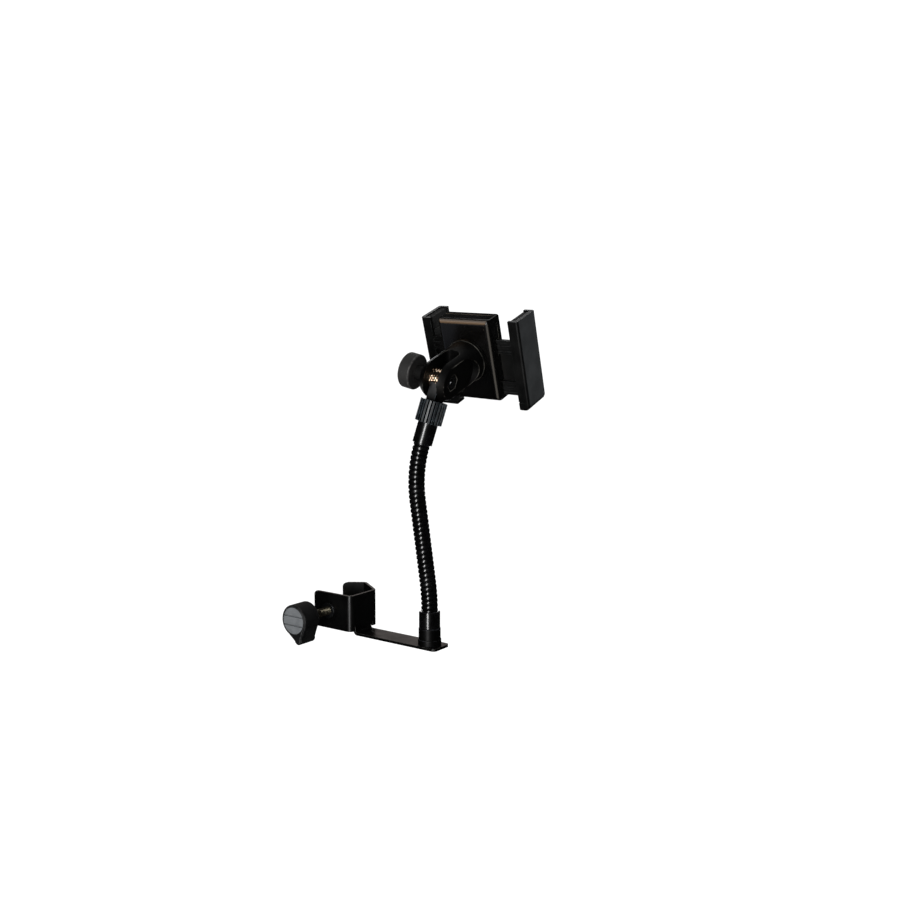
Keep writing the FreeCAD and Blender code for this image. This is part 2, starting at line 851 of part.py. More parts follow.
def pivot_knob():
    """Turn the round knob that tightens the pivot bolt."""
    body = new_body("pivot_knob")
    hub = "-(%s + grip_gap)" % EAR_OUT
    inner = "-(%s + grip_gap + grip_hub)" % EAR_OUT
    outer = "-(%s + grip_gap + grip_hub + grip_thick)" % EAR_OUT
    bore = "bolt_radius + fit_gap"
    bore_end = outer + " + grip_skin"
    turn(body, [
        ("0", outer),
        ("grip_radius - grip_bevel", outer),
        ("grip_radius", outer + " + grip_bevel"),
        ("grip_radius", inner + " - grip_bevel / 2"),
        ("grip_radius - grip_bevel / 2", inner),
        ("grip_hub_radius", inner),
        ("grip_hub_radius", hub),
        (bore, hub),
        (bore, bore_end),
        ("0", bore_end),
    ])
    body.Placement = FORK_FRAME * ALONG_X


def swivel_screw():
    """Turn the screw that the cradle turns about."""
    body = new_body("swivel_screw")
    seat = "slot_floor + swivel_head"
    tip = "pivot_reach + box_wall + swivel_gap + swivel_nut"
    turn(body, [
        ("0", "slot_floor"),
        ("swivel_head_radius", "slot_floor"),
        ("swivel_head_radius", seat),
        ("swivel_radius", seat),
        ("swivel_radius", tip),
        ("0", tip),
    ])
    body.Placement = FORK_FRAME * ALONG_Y


def swivel_nut():
    """Put the nut on the swivel screw inside the cradle."""
    body = new_body("swivel_nut")
    low = "pivot_reach + box_wall + swivel_gap"
    high = low + " + swivel_nut"
    pad(body, "XZ", low, high, lambda made: hexagon(made, "swivel_nut_flats"))
    pocket(body, "XZ", low + " - 1", high + " + 1", lambda made: circle(
        made, "0", "0", "swivel_radius + fit_gap"))
    body.Placement = FORK_FRAME


# Phone cradle

RAILS = ("rail_upper", "-rail_lower")


def box_outline(made, inset="0"):
    """Draw the outline of the cradle box."""
    half_width = "(box_width / 2 - %s)" % inset
    half_height = "(box_height / 2 - %s)" % inset
    low = "-%s - box_drop" % half_height
    high = "%s - box_drop" % half_height
    rectangle(made, "-" + half_width, low, half_width, high)


def rear_housing():
    """Mould the rear shell of the cradle with its rail openings, screw bosses and pinion post."""
    body = new_body("rear_housing")
    pad(body, "XZ", "0", "housing_depth", box_outline)
    soften(body, "box_corner", lambda at, edge: level(edge))
    soften(body, "housing_round", lambda at, edge: near(at.y, "0") and (
        near(at.z, "box_height / 2 - box_drop")))
    pocket(body, "XZ", "box_wall", "housing_depth + 1", lambda made: box_outline(made, "box_wall"))
    for side in ("", "-"):
        pad(body, "XZ", "box_wall", "housing_depth", lambda made, x=side + "boss_x": circle(
            made, x, "boss_z", "boss_radius"))
    pad(body, "XZ", "box_wall", "jaw_rear + rack_thick", lambda made: circle(
        made, "0", "-gear_drop", "post_radius"))
    for middle in RAILS:
        pocket(body, "YZ", "-box_width / 2 - 1", "box_width / 2 + 1", lambda made, z=middle: rectangle(
            made, "jaw_rear - rail_gap", "%s - rail_height / 2 - rail_gap" % z,
            "housing_depth + 1", "%s + rail_height / 2 + rail_gap" % z))
    pocket(body, "YZ", "-box_width / 2 - 1", "box_width / 2 + 1", lambda made: rectangle(
        made, "jaw_rear + rail_thick - web_thick - rail_gap", "-rail_lower",
        "housing_depth + 1", "rail_upper"))
    pocket(body, "XZ", "-1", "box_wall + 1", lambda made: circle(made, "0", "0", "swivel_radius + fit_gap"))
    for side in ("", "-"):
        pocket(body, "XZ", "housing_depth - box_screw_reach - 1", "housing_depth + 1",
               lambda made, x=side + "boss_x": circle(made, x, "boss_z", "box_screw_radius + fit_gap"))
    body.Placement = CRADLE_FRAME


def front_plate():
    """Mould the front plate that closes the cradle and carries the pad."""
    body = new_body("front_plate")
    pad(body, "XZ", "housing_depth", BOX_DEPTH, box_outline)
    soften(body, "box_corner", lambda at, edge: level(edge))
    bevel(body, "plate_bevel", lambda at, edge: near(at.y, BOX_DEPTH))
    pocket(body, "XZ", BOX_DEPTH + " - front_pad_sink", BOX_DEPTH + " + 1", lambda made: rectangle(
        made, "-front_pad_width / 2 - hole_gap", "-front_pad_height / 2 - hole_gap",
        "front_pad_width / 2 + hole_gap", "front_pad_height / 2 + hole_gap"))
    for side in ("", "-"):
        pocket(body, "XZ", "housing_depth - 1", BOX_DEPTH + " + 1", lambda made, x=side + "boss_x": circle(
            made, x, "boss_z", "box_screw_radius + hole_gap"))
        pocket(body, "XZ", BOX_DEPTH + " - front_pad_sink - box_screw_head", BOX_DEPTH + " + 1",
               lambda made, x=side + "boss_x": circle(made, x, "boss_z", "box_screw_head_radius + hole_gap"))
    body.Placement = CRADLE_FRAME


def front_pad():
    """Mould the rubber pad behind the phone."""
    body = new_body("front_pad")
    pad(body, "XZ", BOX_DEPTH + " - front_pad_sink", BOX_DEPTH + " + front_pad_proud", lambda made: rectangle(
        made, "-front_pad_width / 2", "-front_pad_height / 2", "front_pad_width / 2", "front_pad_height / 2"))
    soften(body, "front_pad_corner", lambda at, edge: level(edge))
    body.Placement = CRADLE_FRAME


def housing_screws():
    """Turn the two screws that hold the front plate, as one group."""
    group = []
    seat = BOX_DEPTH + " - front_pad_sink - box_screw_head"
    tip = "housing_depth - box_screw_reach"
    for name, side in (("right_screw", 1), ("left_screw", -1)):
        body = doc.addObject("PartDesign::Body", name)
        turn(body, [
            ("0", tip),
            ("box_screw_radius", tip),
            ("box_screw_radius", seat),
            ("box_screw_head_radius", seat),
            ("box_screw_head_radius", seat + " + box_screw_head"),
            ("0", seat + " + box_screw_head"),
        ])
        place = Placement(Vector(side * number("boss_x"), 0, number("boss_z")), Rotation())
        body.Placement = CRADLE_FRAME * place * ALONG_Y
        group.append(body)
    made = doc.addObject("Part::Compound", "housing_screws")
    made.Label = "housing_screws"
    made.Links = group
    pieces.append(made)


# Sliding jaws


def rail_profile(made, middle):
    """Draw a rail's section with ridges along its rear face."""
    low = "%s - rail_height / 2" % middle
    high = "%s + rail_height / 2" % middle
    rear = "jaw_rear"
    inner = "jaw_rear + rail_groove"
    front = "jaw_rear + rail_thick"
    polygon(made, [
        (rear, low),
        (front, low),
        (front, high),
        (rear, high),
        (rear, "%s - rail_ridge" % high),
        (inner, "%s - rail_ridge" % high),
        (inner, "%s + rail_ridge / 2" % middle),
        (rear, "%s + rail_ridge / 2" % middle),
        (rear, "%s - rail_ridge / 2" % middle),
        (inner, "%s - rail_ridge / 2" % middle),
        (inner, "%s + rail_ridge" % low),
        (rear, "%s + rail_ridge" % low),
    ])


def rack_outline(made, side):
    """Draw the rack bar with its teeth towards the pinion: above it on the left jaw, below on the right."""
    up = "-" if side > 0 else ""
    pitch = "(pi * tooth_module)"

    def height(offset):
        """Return a height measured from the pinion's middle towards this jaw's bar."""
        return "-gear_drop + (%s(%s + %s))" % (up, PITCH_RADIUS, offset)

    def across(place):
        """Return a place along the bar, with the jaw's side outwards."""
        return "%d * (%s)" % (side, place)

    start = "-rack_ahead"
    stop = "rack_back"
    shift = 0 if side > 0 else 0.5
    pitch_value = number(pitch)
    first = math.ceil((-number("rack_ahead") + number("tooth_flank")) / pitch_value - shift)
    last = math.floor((number("rack_back") - number("tooth_flank")) / pitch_value - shift)
    points = [(across(start), height("tooth_root + rack_bar")), (across(start), height("tooth_root"))]
    for index in range(first, last + 1):
        middle = "%s * %s" % (index + shift, pitch)
        points.append((across("%s - tooth_flank / 2" % middle), height("tooth_root")))
        points.append((across("%s - tooth_land / 2" % middle), height("-tooth_tip")))
        points.append((across("%s + tooth_land / 2" % middle), height("-tooth_tip")))
        points.append((across("%s + tooth_flank / 2" % middle), height("tooth_root")))
    points.append((across(stop), height("tooth_root")))
    points.append((across(stop), height("tooth_root + rack_bar")))
    polygon(made, points)


def jaw(label, side):
    """Mould one jaw: a channel for the phone's edge, a floor, two rails, a rack and on the left a foot."""
    body = new_body(label)

    def across(text):
        """Return a place measured outwards on this jaw's side."""
        return "%d * (%s)" % (side, text)

    def section(made):
        """Draw the channel seen from above."""
        polygon(made, [
            (across("jaw_in"), "jaw_rear"),
            (across("jaw_out"), "jaw_rear"),
            (across("jaw_out"), "jaw_front"),
            (across("jaw_in"), "jaw_front"),
            (across("jaw_in"), "jaw_front - jaw_lip"),
            (across("jaw_out - jaw_wall"), "jaw_front - jaw_lip"),
            (across("jaw_out - jaw_wall"), "jaw_rear + jaw_flange"),
            (across("jaw_in"), "jaw_rear + jaw_flange"),
        ])

    rail_ends = ("rail_tip", "jaw_in + jaw_wall")
    rail_low, rail_high = (across(rail_ends[0]), across(rail_ends[1]))[::side]
    pad(body, "XY", "-jaw_bottom", "jaw_top", section)
    pad(body, "XY", "-jaw_bottom", "-jaw_bottom + jaw_floor", lambda made: rectangle(
        made, across("jaw_in"), "jaw_rear", across("jaw_out"), "jaw_front"))
    soften(body, "jaw_corner", lambda at, edge: level(edge) and near(at.x, across("jaw_out")) and (
        near(at.z, "-jaw_bottom")))
    soften(body, "jaw_edge", lambda at, edge: upright(edge) and near(at.x, across("jaw_out")))
    if side < 0:
        pad(body, "XY", "-jaw_bottom", "-jaw_bottom + jaw_floor", lambda made: rectangle(
            made, across("foot_tip"), "jaw_rear", across("jaw_in + jaw_wall"), "jaw_rear + foot_depth"))
    for middle in RAILS:
        pad(body, "YZ", rail_low, rail_high, lambda made, z=middle: rail_profile(made, z))
    web_front = "jaw_rear + rail_thick"
    web_inner = "box_width / 2"
    pad(body, "XZ", web_front + " - web_thick", web_front, lambda made: rectangle(
        made, across(web_inner), "-rail_lower", across("jaw_in + jaw_wall"), "rail_upper"))
    pocket(body, "XZ", "jaw_rear - 1", "jaw_rear + foot_line", lambda made: rectangle(
        made, across("jaw_in - 1"), "-jaw_bottom + foot_height", across("jaw_out - jaw_wall"),
        "-jaw_bottom + foot_height + foot_line"))
    pad(body, "XZ", "jaw_rear", "jaw_rear + rack_thick", lambda made: rack_outline(made, side))
    bar = "(%s + tooth_root)" % PITCH_RADIUS
    if side > 0:
        link = ("-rail_lower + rail_height / 2 - rail_gap", "-gear_drop - %s" % bar)
    else:
        link = ("-gear_drop + %s" % bar, "rail_upper - rail_height / 2 + rail_gap")
    pad(body, "XZ", "jaw_rear", "jaw_rear + rack_thick", lambda made: rectangle(
        made, across("rack_back - rack_link"), link[0], across("rack_back"), link[1]))
    body.Placement = CRADLE_FRAME


def jaw_pad(label, side):
    """Mould the ridged rubber pad inside one jaw."""
    body = new_body(label)
    outer = "jaw_out - jaw_wall"
    inner = "jaw_out - jaw_wall - jaw_pad"
    valley = "jaw_out - jaw_wall - jaw_pad + jaw_pad_groove"
    low = "-jaw_bottom + jaw_floor + jaw_pad_gap"
    high = "jaw_top - jaw_pad_gap"
    count = max(1, int(number("(%s) - (%s)" % (high, low)) / number("2 * jaw_pad_ridge")))

    def across(text):
        """Return a place measured outwards on this jaw's side."""
        return "%d * (%s)" % (side, text)

    def section(made):
        """Draw the pad's section with its ridges, seen from behind."""
        step = "((%s) - (%s)) / %d" % (high, low, 2 * count + 1)
        points = [(across(outer), high), (across(outer), low)]
        for index in range(2 * count + 1):
            face = inner if index % 2 == 0 else valley
            points.append((across(face), "%s + %d * %s" % (low, index, step)))
            points.append((across(face), "%s + %d * %s" % (low, index + 1, step)))
        polygon(made, points)

    pad(body, "XZ", "jaw_rear + jaw_flange + jaw_pad_gap", "jaw_front - jaw_lip - jaw_pad_gap", section)
    body.Placement = CRADLE_FRAME


def jaw_pinion():
    """Cut the pinion that makes both jaws move by the same amount."""
    body = new_body("jaw_pinion")
    teeth = int(number("gear_teeth"))
    tip = "(%s + tooth_tip)" % PITCH_RADIUS
    root = "(%s - tooth_root)" % PITCH_RADIUS
    step = 360 / teeth

    def outline(made):
        """Draw the slim teeth about the post."""
        points = []
        for index in range(teeth):
            turn_angle = 90 + index * step
            for radius, half in ((root, "tooth_flank / 2"), (tip, "tooth_land / 2"),
                                 (tip, "-tooth_land / 2"), (root, "-tooth_flank / 2")):
                x = "%s * cos(%s) + (%s) * sin(%s)" % (radius, turn_angle, half, turn_angle)
                z = "%s * sin(%s) - (%s) * cos(%s)" % (radius, turn_angle, half, turn_angle)
                points.append((x, "-gear_drop + " + z))
        polygon(made, points[::-1])

    low = "jaw_rear + gear_gap"
    high = "jaw_rear + rack_thick - gear_gap"
    pad(body, "XZ", low, high, outline)
    pocket(body, "XZ", low + " - 1", high + " + 1", lambda made: circle(
        made, "0", "-gear_drop", "post_radius + fit_gap"))
    body.Placement = CRADLE_FRAME


def write_parts():
    """Check every object and write each piece to its own file."""
    doc.recompute()
    for item in doc.Objects:
        if "Invalid" in item.State or "Error" in item.State:
            raise RuntimeError("%s failed: %s" % (item.Label, item.State))
    os.makedirs("parts", exist_ok=True)
    for item in pieces:
        if item.Shape.isNull() or not item.Shape.isValid():
            raise RuntimeError("%s has no valid shape" % item.Label)
    for item in pieces:
        item.Shape.exportStep("parts/%s.step" % item.Label)


clamp_bracket()
rivet_nut()
clamp_screw()
clamp_knob()
knob_face()
pressure_pad()
base_screw()
lower_collar()
lower_ferrule()
gooseneck()
upper_ferrule()
hinge_base()
pivot_barrel()
pivot_fork()
pivot_nut()
pivot_bolt()
pivot_knob()
swivel_screw()
swivel_nut()
rear_housing()
front_plate()
front_pad()
housing_screws()
jaw("right_jaw", 1)
jaw("left_jaw", -1)
jaw_pad("right_jaw_pad", 1)
jaw_pad("left_jaw_pad", -1)
jaw_pinion()
write_parts()
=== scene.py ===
"""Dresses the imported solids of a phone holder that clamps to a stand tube."""

import json
import logging
import math
from collections.abc import Callable
from dataclasses import dataclass
from enum import Enum
from functools import cached_property

import bmesh
import bpy
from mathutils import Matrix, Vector

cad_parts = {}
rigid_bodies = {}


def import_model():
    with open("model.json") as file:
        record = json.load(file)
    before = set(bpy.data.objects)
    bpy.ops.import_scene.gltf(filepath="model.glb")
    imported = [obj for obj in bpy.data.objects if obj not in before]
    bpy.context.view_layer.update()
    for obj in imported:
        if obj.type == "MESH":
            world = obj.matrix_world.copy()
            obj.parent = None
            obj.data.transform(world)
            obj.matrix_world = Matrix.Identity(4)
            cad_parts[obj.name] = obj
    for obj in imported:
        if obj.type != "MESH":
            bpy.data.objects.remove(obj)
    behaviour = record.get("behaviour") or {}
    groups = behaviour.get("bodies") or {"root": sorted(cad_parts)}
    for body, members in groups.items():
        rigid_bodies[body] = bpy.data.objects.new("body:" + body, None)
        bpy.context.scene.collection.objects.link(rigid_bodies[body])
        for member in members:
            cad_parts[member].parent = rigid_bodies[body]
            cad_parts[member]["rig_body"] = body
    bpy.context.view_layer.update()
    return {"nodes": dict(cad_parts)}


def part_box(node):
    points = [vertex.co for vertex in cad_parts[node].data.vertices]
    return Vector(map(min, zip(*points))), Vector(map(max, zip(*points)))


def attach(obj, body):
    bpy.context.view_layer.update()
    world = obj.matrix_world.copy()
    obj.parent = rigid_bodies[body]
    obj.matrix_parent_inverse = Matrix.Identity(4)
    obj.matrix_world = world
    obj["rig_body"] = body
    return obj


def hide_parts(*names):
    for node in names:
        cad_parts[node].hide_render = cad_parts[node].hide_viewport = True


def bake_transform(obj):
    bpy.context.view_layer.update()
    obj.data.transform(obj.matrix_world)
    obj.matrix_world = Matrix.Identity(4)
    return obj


LOG = logging.getLogger("phone_holder")
MM = 0.001
UP = Vector((0.0, 0.0, 1.0))
# The edge mark carries wear, painted highlight on several finishes, and painted shade on the grey
# insert.
EDGE_MARK = "worn_edge"
# The shade mark carries painted shade, between the socket's ribs and round the knob's hub.
PAINTED_SHADE_MARK = "dark_hollow"

# Sockets of a Mix node that mixes two colours.
MIX_SHARE, MIX_FIRST, MIX_SECOND, MIX_RESULT = 0, 6, 7, 2
# Blender's wave texture sets its bands this far apart at a scale of one.
WAVE_PERIOD = 0.314
WHOLE = (0.0, 1.0)
# The stretches of a noise over which patches fade, and over which the edge colour of wear and
# painted highlight shows.
DRIFT_RANGE = (0.35, 0.65)
NICK_AND_PAINTED_LIGHT_RANGE = (0.38, 0.66)
# A face belongs to a round side if its normal leans less than this along the axis.
SIDE_LIMIT = 0.5
# How far large faces prevail over small ones where the shading is smooth.
FLAT_WEIGHT = 80


def linear(colour: str) -> tuple[float, float, float, float]:
    """Turn an sRGB colour into linear light.

    Args:
        colour: six hex digits after a hash.

    Returns:
        Red, green, blue and an alpha of one.
    """
    parts = [int(colour[i : i + 2], 16) / 255 for i in (1, 3, 5)]
    light = [p / 12.92 if p <= 0.04045 else ((p + 0.055) / 1.055) ** 2.4 for p in parts]
    return (light[0], light[1], light[2], 1.0)


def per_metre(size_mm: float) -> float:
    """Give the texture scale at which one feature is so many millimetres wide."""
    return 1.0 / (size_mm * MM)


def add_node(
    tree: bpy.types.NodeTree, kind: str, inputs: dict | None = None, **settings: object
) -> bpy.types.Node:
    """Add one node with its settings and links.

    Args:
        tree: the node tree that gets it.
        kind: Blender's name for this kind of node.
        inputs: for each socket, its value or the output socket that feeds it.
        settings: the node's own properties.

    Returns:
        The new node.
    """
    node = tree.nodes.new(kind)
    for name, value in settings.items():
        setattr(node, name, value)
    for socket, value in (inputs or {}).items():
        if isinstance(value, bpy.types.NodeSocket):
            tree.links.new(value, node.inputs[socket])
        else:
            node.inputs[socket].default_value = value
    return node


def noise(
    tree: bpy.types.NodeTree,
    place: bpy.types.NodeSocket,
    size_mm: float,
    detail: float,
    roughness: float,
) -> bpy.types.NodeSocket:
    """Add a noise pattern.

    Args:
        tree: the node tree that gets it.
        place: the socket with the point on the piece.
        size_mm: the width of its widest features.
        detail: how many finer layers it has.
        roughness: how strongly the finer layers show.

    Returns:
        The noise, from 0 to 1.
    """
    return add_node(
        tree,
        "ShaderNodeTexNoise",
        {"Vector": place, "Scale": per_metre(size_mm), "Detail": detail, "Roughness": roughness},
    ).outputs["Fac"]


def carried(
    tree: bpy.types.NodeTree,
    value: bpy.types.NodeSocket,
    source: tuple[float, float],
    target: tuple[float, float],
) -> bpy.types.NodeSocket:
    """Carry a value from one range over to another.

    Args:
        tree: the node tree that gets the node.
        value: the socket with the value.
        source: the range that it comes from.
        target: the range that it goes to.

    Returns:
        The value in its new range.
    """
    return add_node(
        tree,
        "ShaderNodeMapRange",
        {
            "Value": value,
            "From Min": source[0],
            "From Max": source[1],
            "To Min": target[0],
            "To Max": target[1],
        },
    ).outputs["Result"]


def mixed(
    tree: bpy.types.NodeTree, share: bpy.types.NodeSocket, first: object, second: object
) -> bpy.types.NodeSocket:
    """Mix two colours.

    Args:
        tree: the node tree that gets the node.
        share: how much of the second colour shows, from 0 to 1.
        first: the first colour, or the socket with it.
        second: the second colour, or the socket with it.

    Returns:
        The mixed colour.
    """
    return add_node(
        tree,
        "ShaderNodeMix",
        {MIX_SHARE: share, MIX_FIRST: first, MIX_SECOND: second},
        data_type="RGBA",
    ).outputs[MIX_RESULT]


@dataclass(frozen=True)
class Finish:
    """A surface as its maker left it, and how handling has changed it since.

    The colour drifts to a second tone over patches, the gloss drifts with it, and outer edges
    show an edge colour where they are marked on the mesh: wear, painted highlight on several
    finishes and painted shade on the grey insert. Faces marked for painted shade go dark and dull.
    """

    name: str
    slot: str
    colour: str
    drift_colour: str
    # Edge colour: wear, painted highlight on several finishes, painted shade on the grey insert.
    wear_and_painted_light_colour: str
    roughness: float
    roughness_drift: float
    drift_mm: float
    grain_mm: float
    grain_depth_mm: float
    wear_and_painted_light: float = 0.5
    least_wear_and_painted_light: float = 0.0
    metallic: float = 0.0
    ior: float = 1.5
    specular: float = 0.4
    coat: float = 0.0
    coat_roughness: float = 0.1
    # Length of the broken patches of edge colour, wear and painted highlight alike.
    nick_and_painted_light_mm: float = 2.4

    def grain(
        self, tree: bpy.types.NodeTree, place: bpy.types.NodeSocket
    ) -> bpy.types.NodeSocket:
        """Lay the surface's texture.

        Args:
            tree: the material's node tree.
            place: the socket with the point on the piece.

        Returns:
            The height of the texture, from 0 to 1.
        """
        return noise(tree, place, self.grain_mm, detail=2.0, roughness=0.5)

    def tint(
        self,
        tree: bpy.types.NodeTree,
        place: bpy.types.NodeSocket,
        patches: bpy.types.NodeSocket,
    ) -> bpy.types.NodeSocket:
        """Lay the colour that shows beneath the edge colour of wear and painted highlight.

        Args:
            tree: the material's node tree.
            place: the socket with the point on the piece.
            patches: slow drift over the surface, from 0 to 1.

        Returns:
            The colour.
        """
        return mixed(tree, patches, linear(self.colour), linear(self.drift_colour))

    def material(self) -> bpy.types.Material:
        """Build the node material.

        Returns:
            The material, ready for a slot.
        """
        made = bpy.data.materials.new(self.name)
        made.use_nodes = True
        tree = made.node_tree
        tree.nodes.clear()
        place = add_node(tree, "ShaderNodeTexCoord").outputs["Object"]
        drift = noise(tree, place, self.drift_mm, detail=4.0, roughness=0.55)
        patches = carried(tree, drift, DRIFT_RANGE, WHOLE)
        grain = self.grain(tree, place)
        # Marked edges take the edge colour in broken patches: wear, painted highlight on several
        # finishes, painted shade on the grey insert.
        edge = add_node(tree, "ShaderNodeAttribute", attribute_name=EDGE_MARK).outputs["Fac"]
        nicks_and_painted_light = noise(tree, place, self.nick_and_painted_light_mm, detail=3.0, roughness=0.6)
        wear_and_painted_light_share = carried(tree, nicks_and_painted_light, NICK_AND_PAINTED_LIGHT_RANGE, (self.least_wear_and_painted_light, self.wear_and_painted_light))
        wear_and_painted_light = add_node(
            tree, "ShaderNodeMath", {0: edge, 1: wear_and_painted_light_share}, operation="MULTIPLY"
        ).outputs["Value"]
        tint = self.tint(tree, place, patches)
        worn_with_painted_light = mixed(tree, wear_and_painted_light, tint, linear(self.wear_and_painted_light_colour))
        # Painted shade: marked faces go toward black and lose their sheen.
        painted_shade = add_node(tree, "ShaderNodeAttribute", attribute_name=PAINTED_SHADE_MARK).outputs["Fac"]
        colour = mixed(tree, painted_shade, worn_with_painted_light, linear("#000000"))
        sheen = carried(tree, painted_shade, WHOLE, (self.specular, 0.0))
        low = self.roughness - self.roughness_drift
        high = self.roughness + self.roughness_drift
        gloss = carried(tree, patches, WHOLE, (low, high))
        bump = add_node(
            tree,
            "ShaderNodeBump",
            {"Height": grain, "Distance": self.grain_depth_mm * MM, "Strength": 1.0},
        ).outputs["Normal"]
        shader = add_node(
            tree,
            "ShaderNodeBsdfPrincipled",
            {
                "Base Color": colour,
                "Roughness": gloss,
                "Normal": bump,
                "Metallic": self.metallic,
                "IOR": self.ior,
                "Specular IOR Level": sheen,
                "Coat Weight": self.coat,
                "Coat Roughness": self.coat_roughness,
            },
        )
        add_node(tree, "ShaderNodeOutputMaterial", {"Surface": shader.outputs["BSDF"]})
        return made


@dataclass(frozen=True)
class PowderCoat(Finish):
    """Powder that has flowed out in an oven: wide soft orange peel and no fine grain."""

    def grain(
        self, tree: bpy.types.NodeTree, place: bpy.types.NodeSocket
    ) -> bpy.types.NodeSocket:
        """Lay the soft orange peel, as the base class says."""
        return noise(tree, place, self.grain_mm, detail=0.5, roughness=0.4)


@dataclass(frozen=True)
class MouldedPlastic(Finish):
    """Plastic from a spark-eroded mould: a dense field of shallow pits."""

    def grain(
        self, tree: bpy.types.NodeTree, place: bpy.types.NodeSocket
    ) -> bpy.types.NodeSocket:
        """Lay the spark-eroded pits, as the base class says."""
        pits = add_node(
            tree,
            "ShaderNodeTexVoronoi",
            {"Vector": place, "Scale": per_metre(self.grain_mm), "Randomness": 1.0},
            feature="SMOOTH_F1",
        )
        return pits.outputs["Distance"]


@dataclass(frozen=True)
class PlatedMetal(Finish):
    """Plated or turned metal: fine tool marks that run round or along the piece."""

    stretch: tuple[float, float, float] = (1.0, 0.12, 1.0)

    def grain(
        self, tree: bpy.types.NodeTree, place: bpy.types.NodeSocket
    ) -> bpy.types.NodeSocket:
        """Lay the drawn tool marks, as the base class says."""
        drawn = add_node(tree, "ShaderNodeMapping", {"Vector": place, "Scale": self.stretch})
        return noise(tree, drawn.outputs["Vector"], self.grain_mm, detail=3.0, roughness=0.6)


@dataclass(frozen=True)
class YellowChromate(PlatedMetal):
    """Zinc under a yellow chromate film, whose thickness shifts it from straw to rose and green."""

    film: tuple[tuple[float, str], ...] = ((0.4, "#a8a28c"), (0.7, "#857a69"))

    def tint(
        self,
        tree: bpy.types.NodeTree,
        place: bpy.types.NodeSocket,
        patches: bpy.types.NodeSocket,
    ) -> bpy.types.NodeSocket:
        """Lay the film's interference colours, as the base class says."""
        ramp = add_node(tree, "ShaderNodeValToRGB", {"Fac": patches})
        ramp.color_ramp.elements[0].color = linear(self.colour)
        ramp.color_ramp.elements[1].color = linear(self.drift_colour)
        for share, colour in self.film:
            ramp.color_ramp.elements.new(share).color = linear(colour)
        return ramp.outputs["Color"]


@dataclass(frozen=True)
class Knurled(PlatedMetal):
    """Turned metal with a knurl rolled into it: two sets of fine ridges that cross."""

    slant: float = 0.55

    def grain(
        self, tree: bpy.types.NodeTree, place: bpy.types.NodeSocket
    ) -> bpy.types.NodeSocket:
        """Lay the two crossing sets of ridges, as the base class says."""
        sets = []
        for turn in (self.slant, -self.slant):
            slanted = add_node(
                tree, "ShaderNodeMapping", {"Vector": place, "Rotation": (turn, turn, 0.0)}
            )
            ridges = add_node(
                tree,
                "ShaderNodeTexWave",
                {
                    "Vector": slanted.outputs["Vector"],
                    "Scale": per_metre(self.grain_mm) * WAVE_PERIOD,
                },
                bands_direction="X",
            )
            sets.append(ridges.outputs["Fac"])
        crossed = add_node(
            tree, "ShaderNodeMath", {0: sets[0], 1: sets[1]}, operation="MULTIPLY"
        )
        return crossed.outputs["Value"]


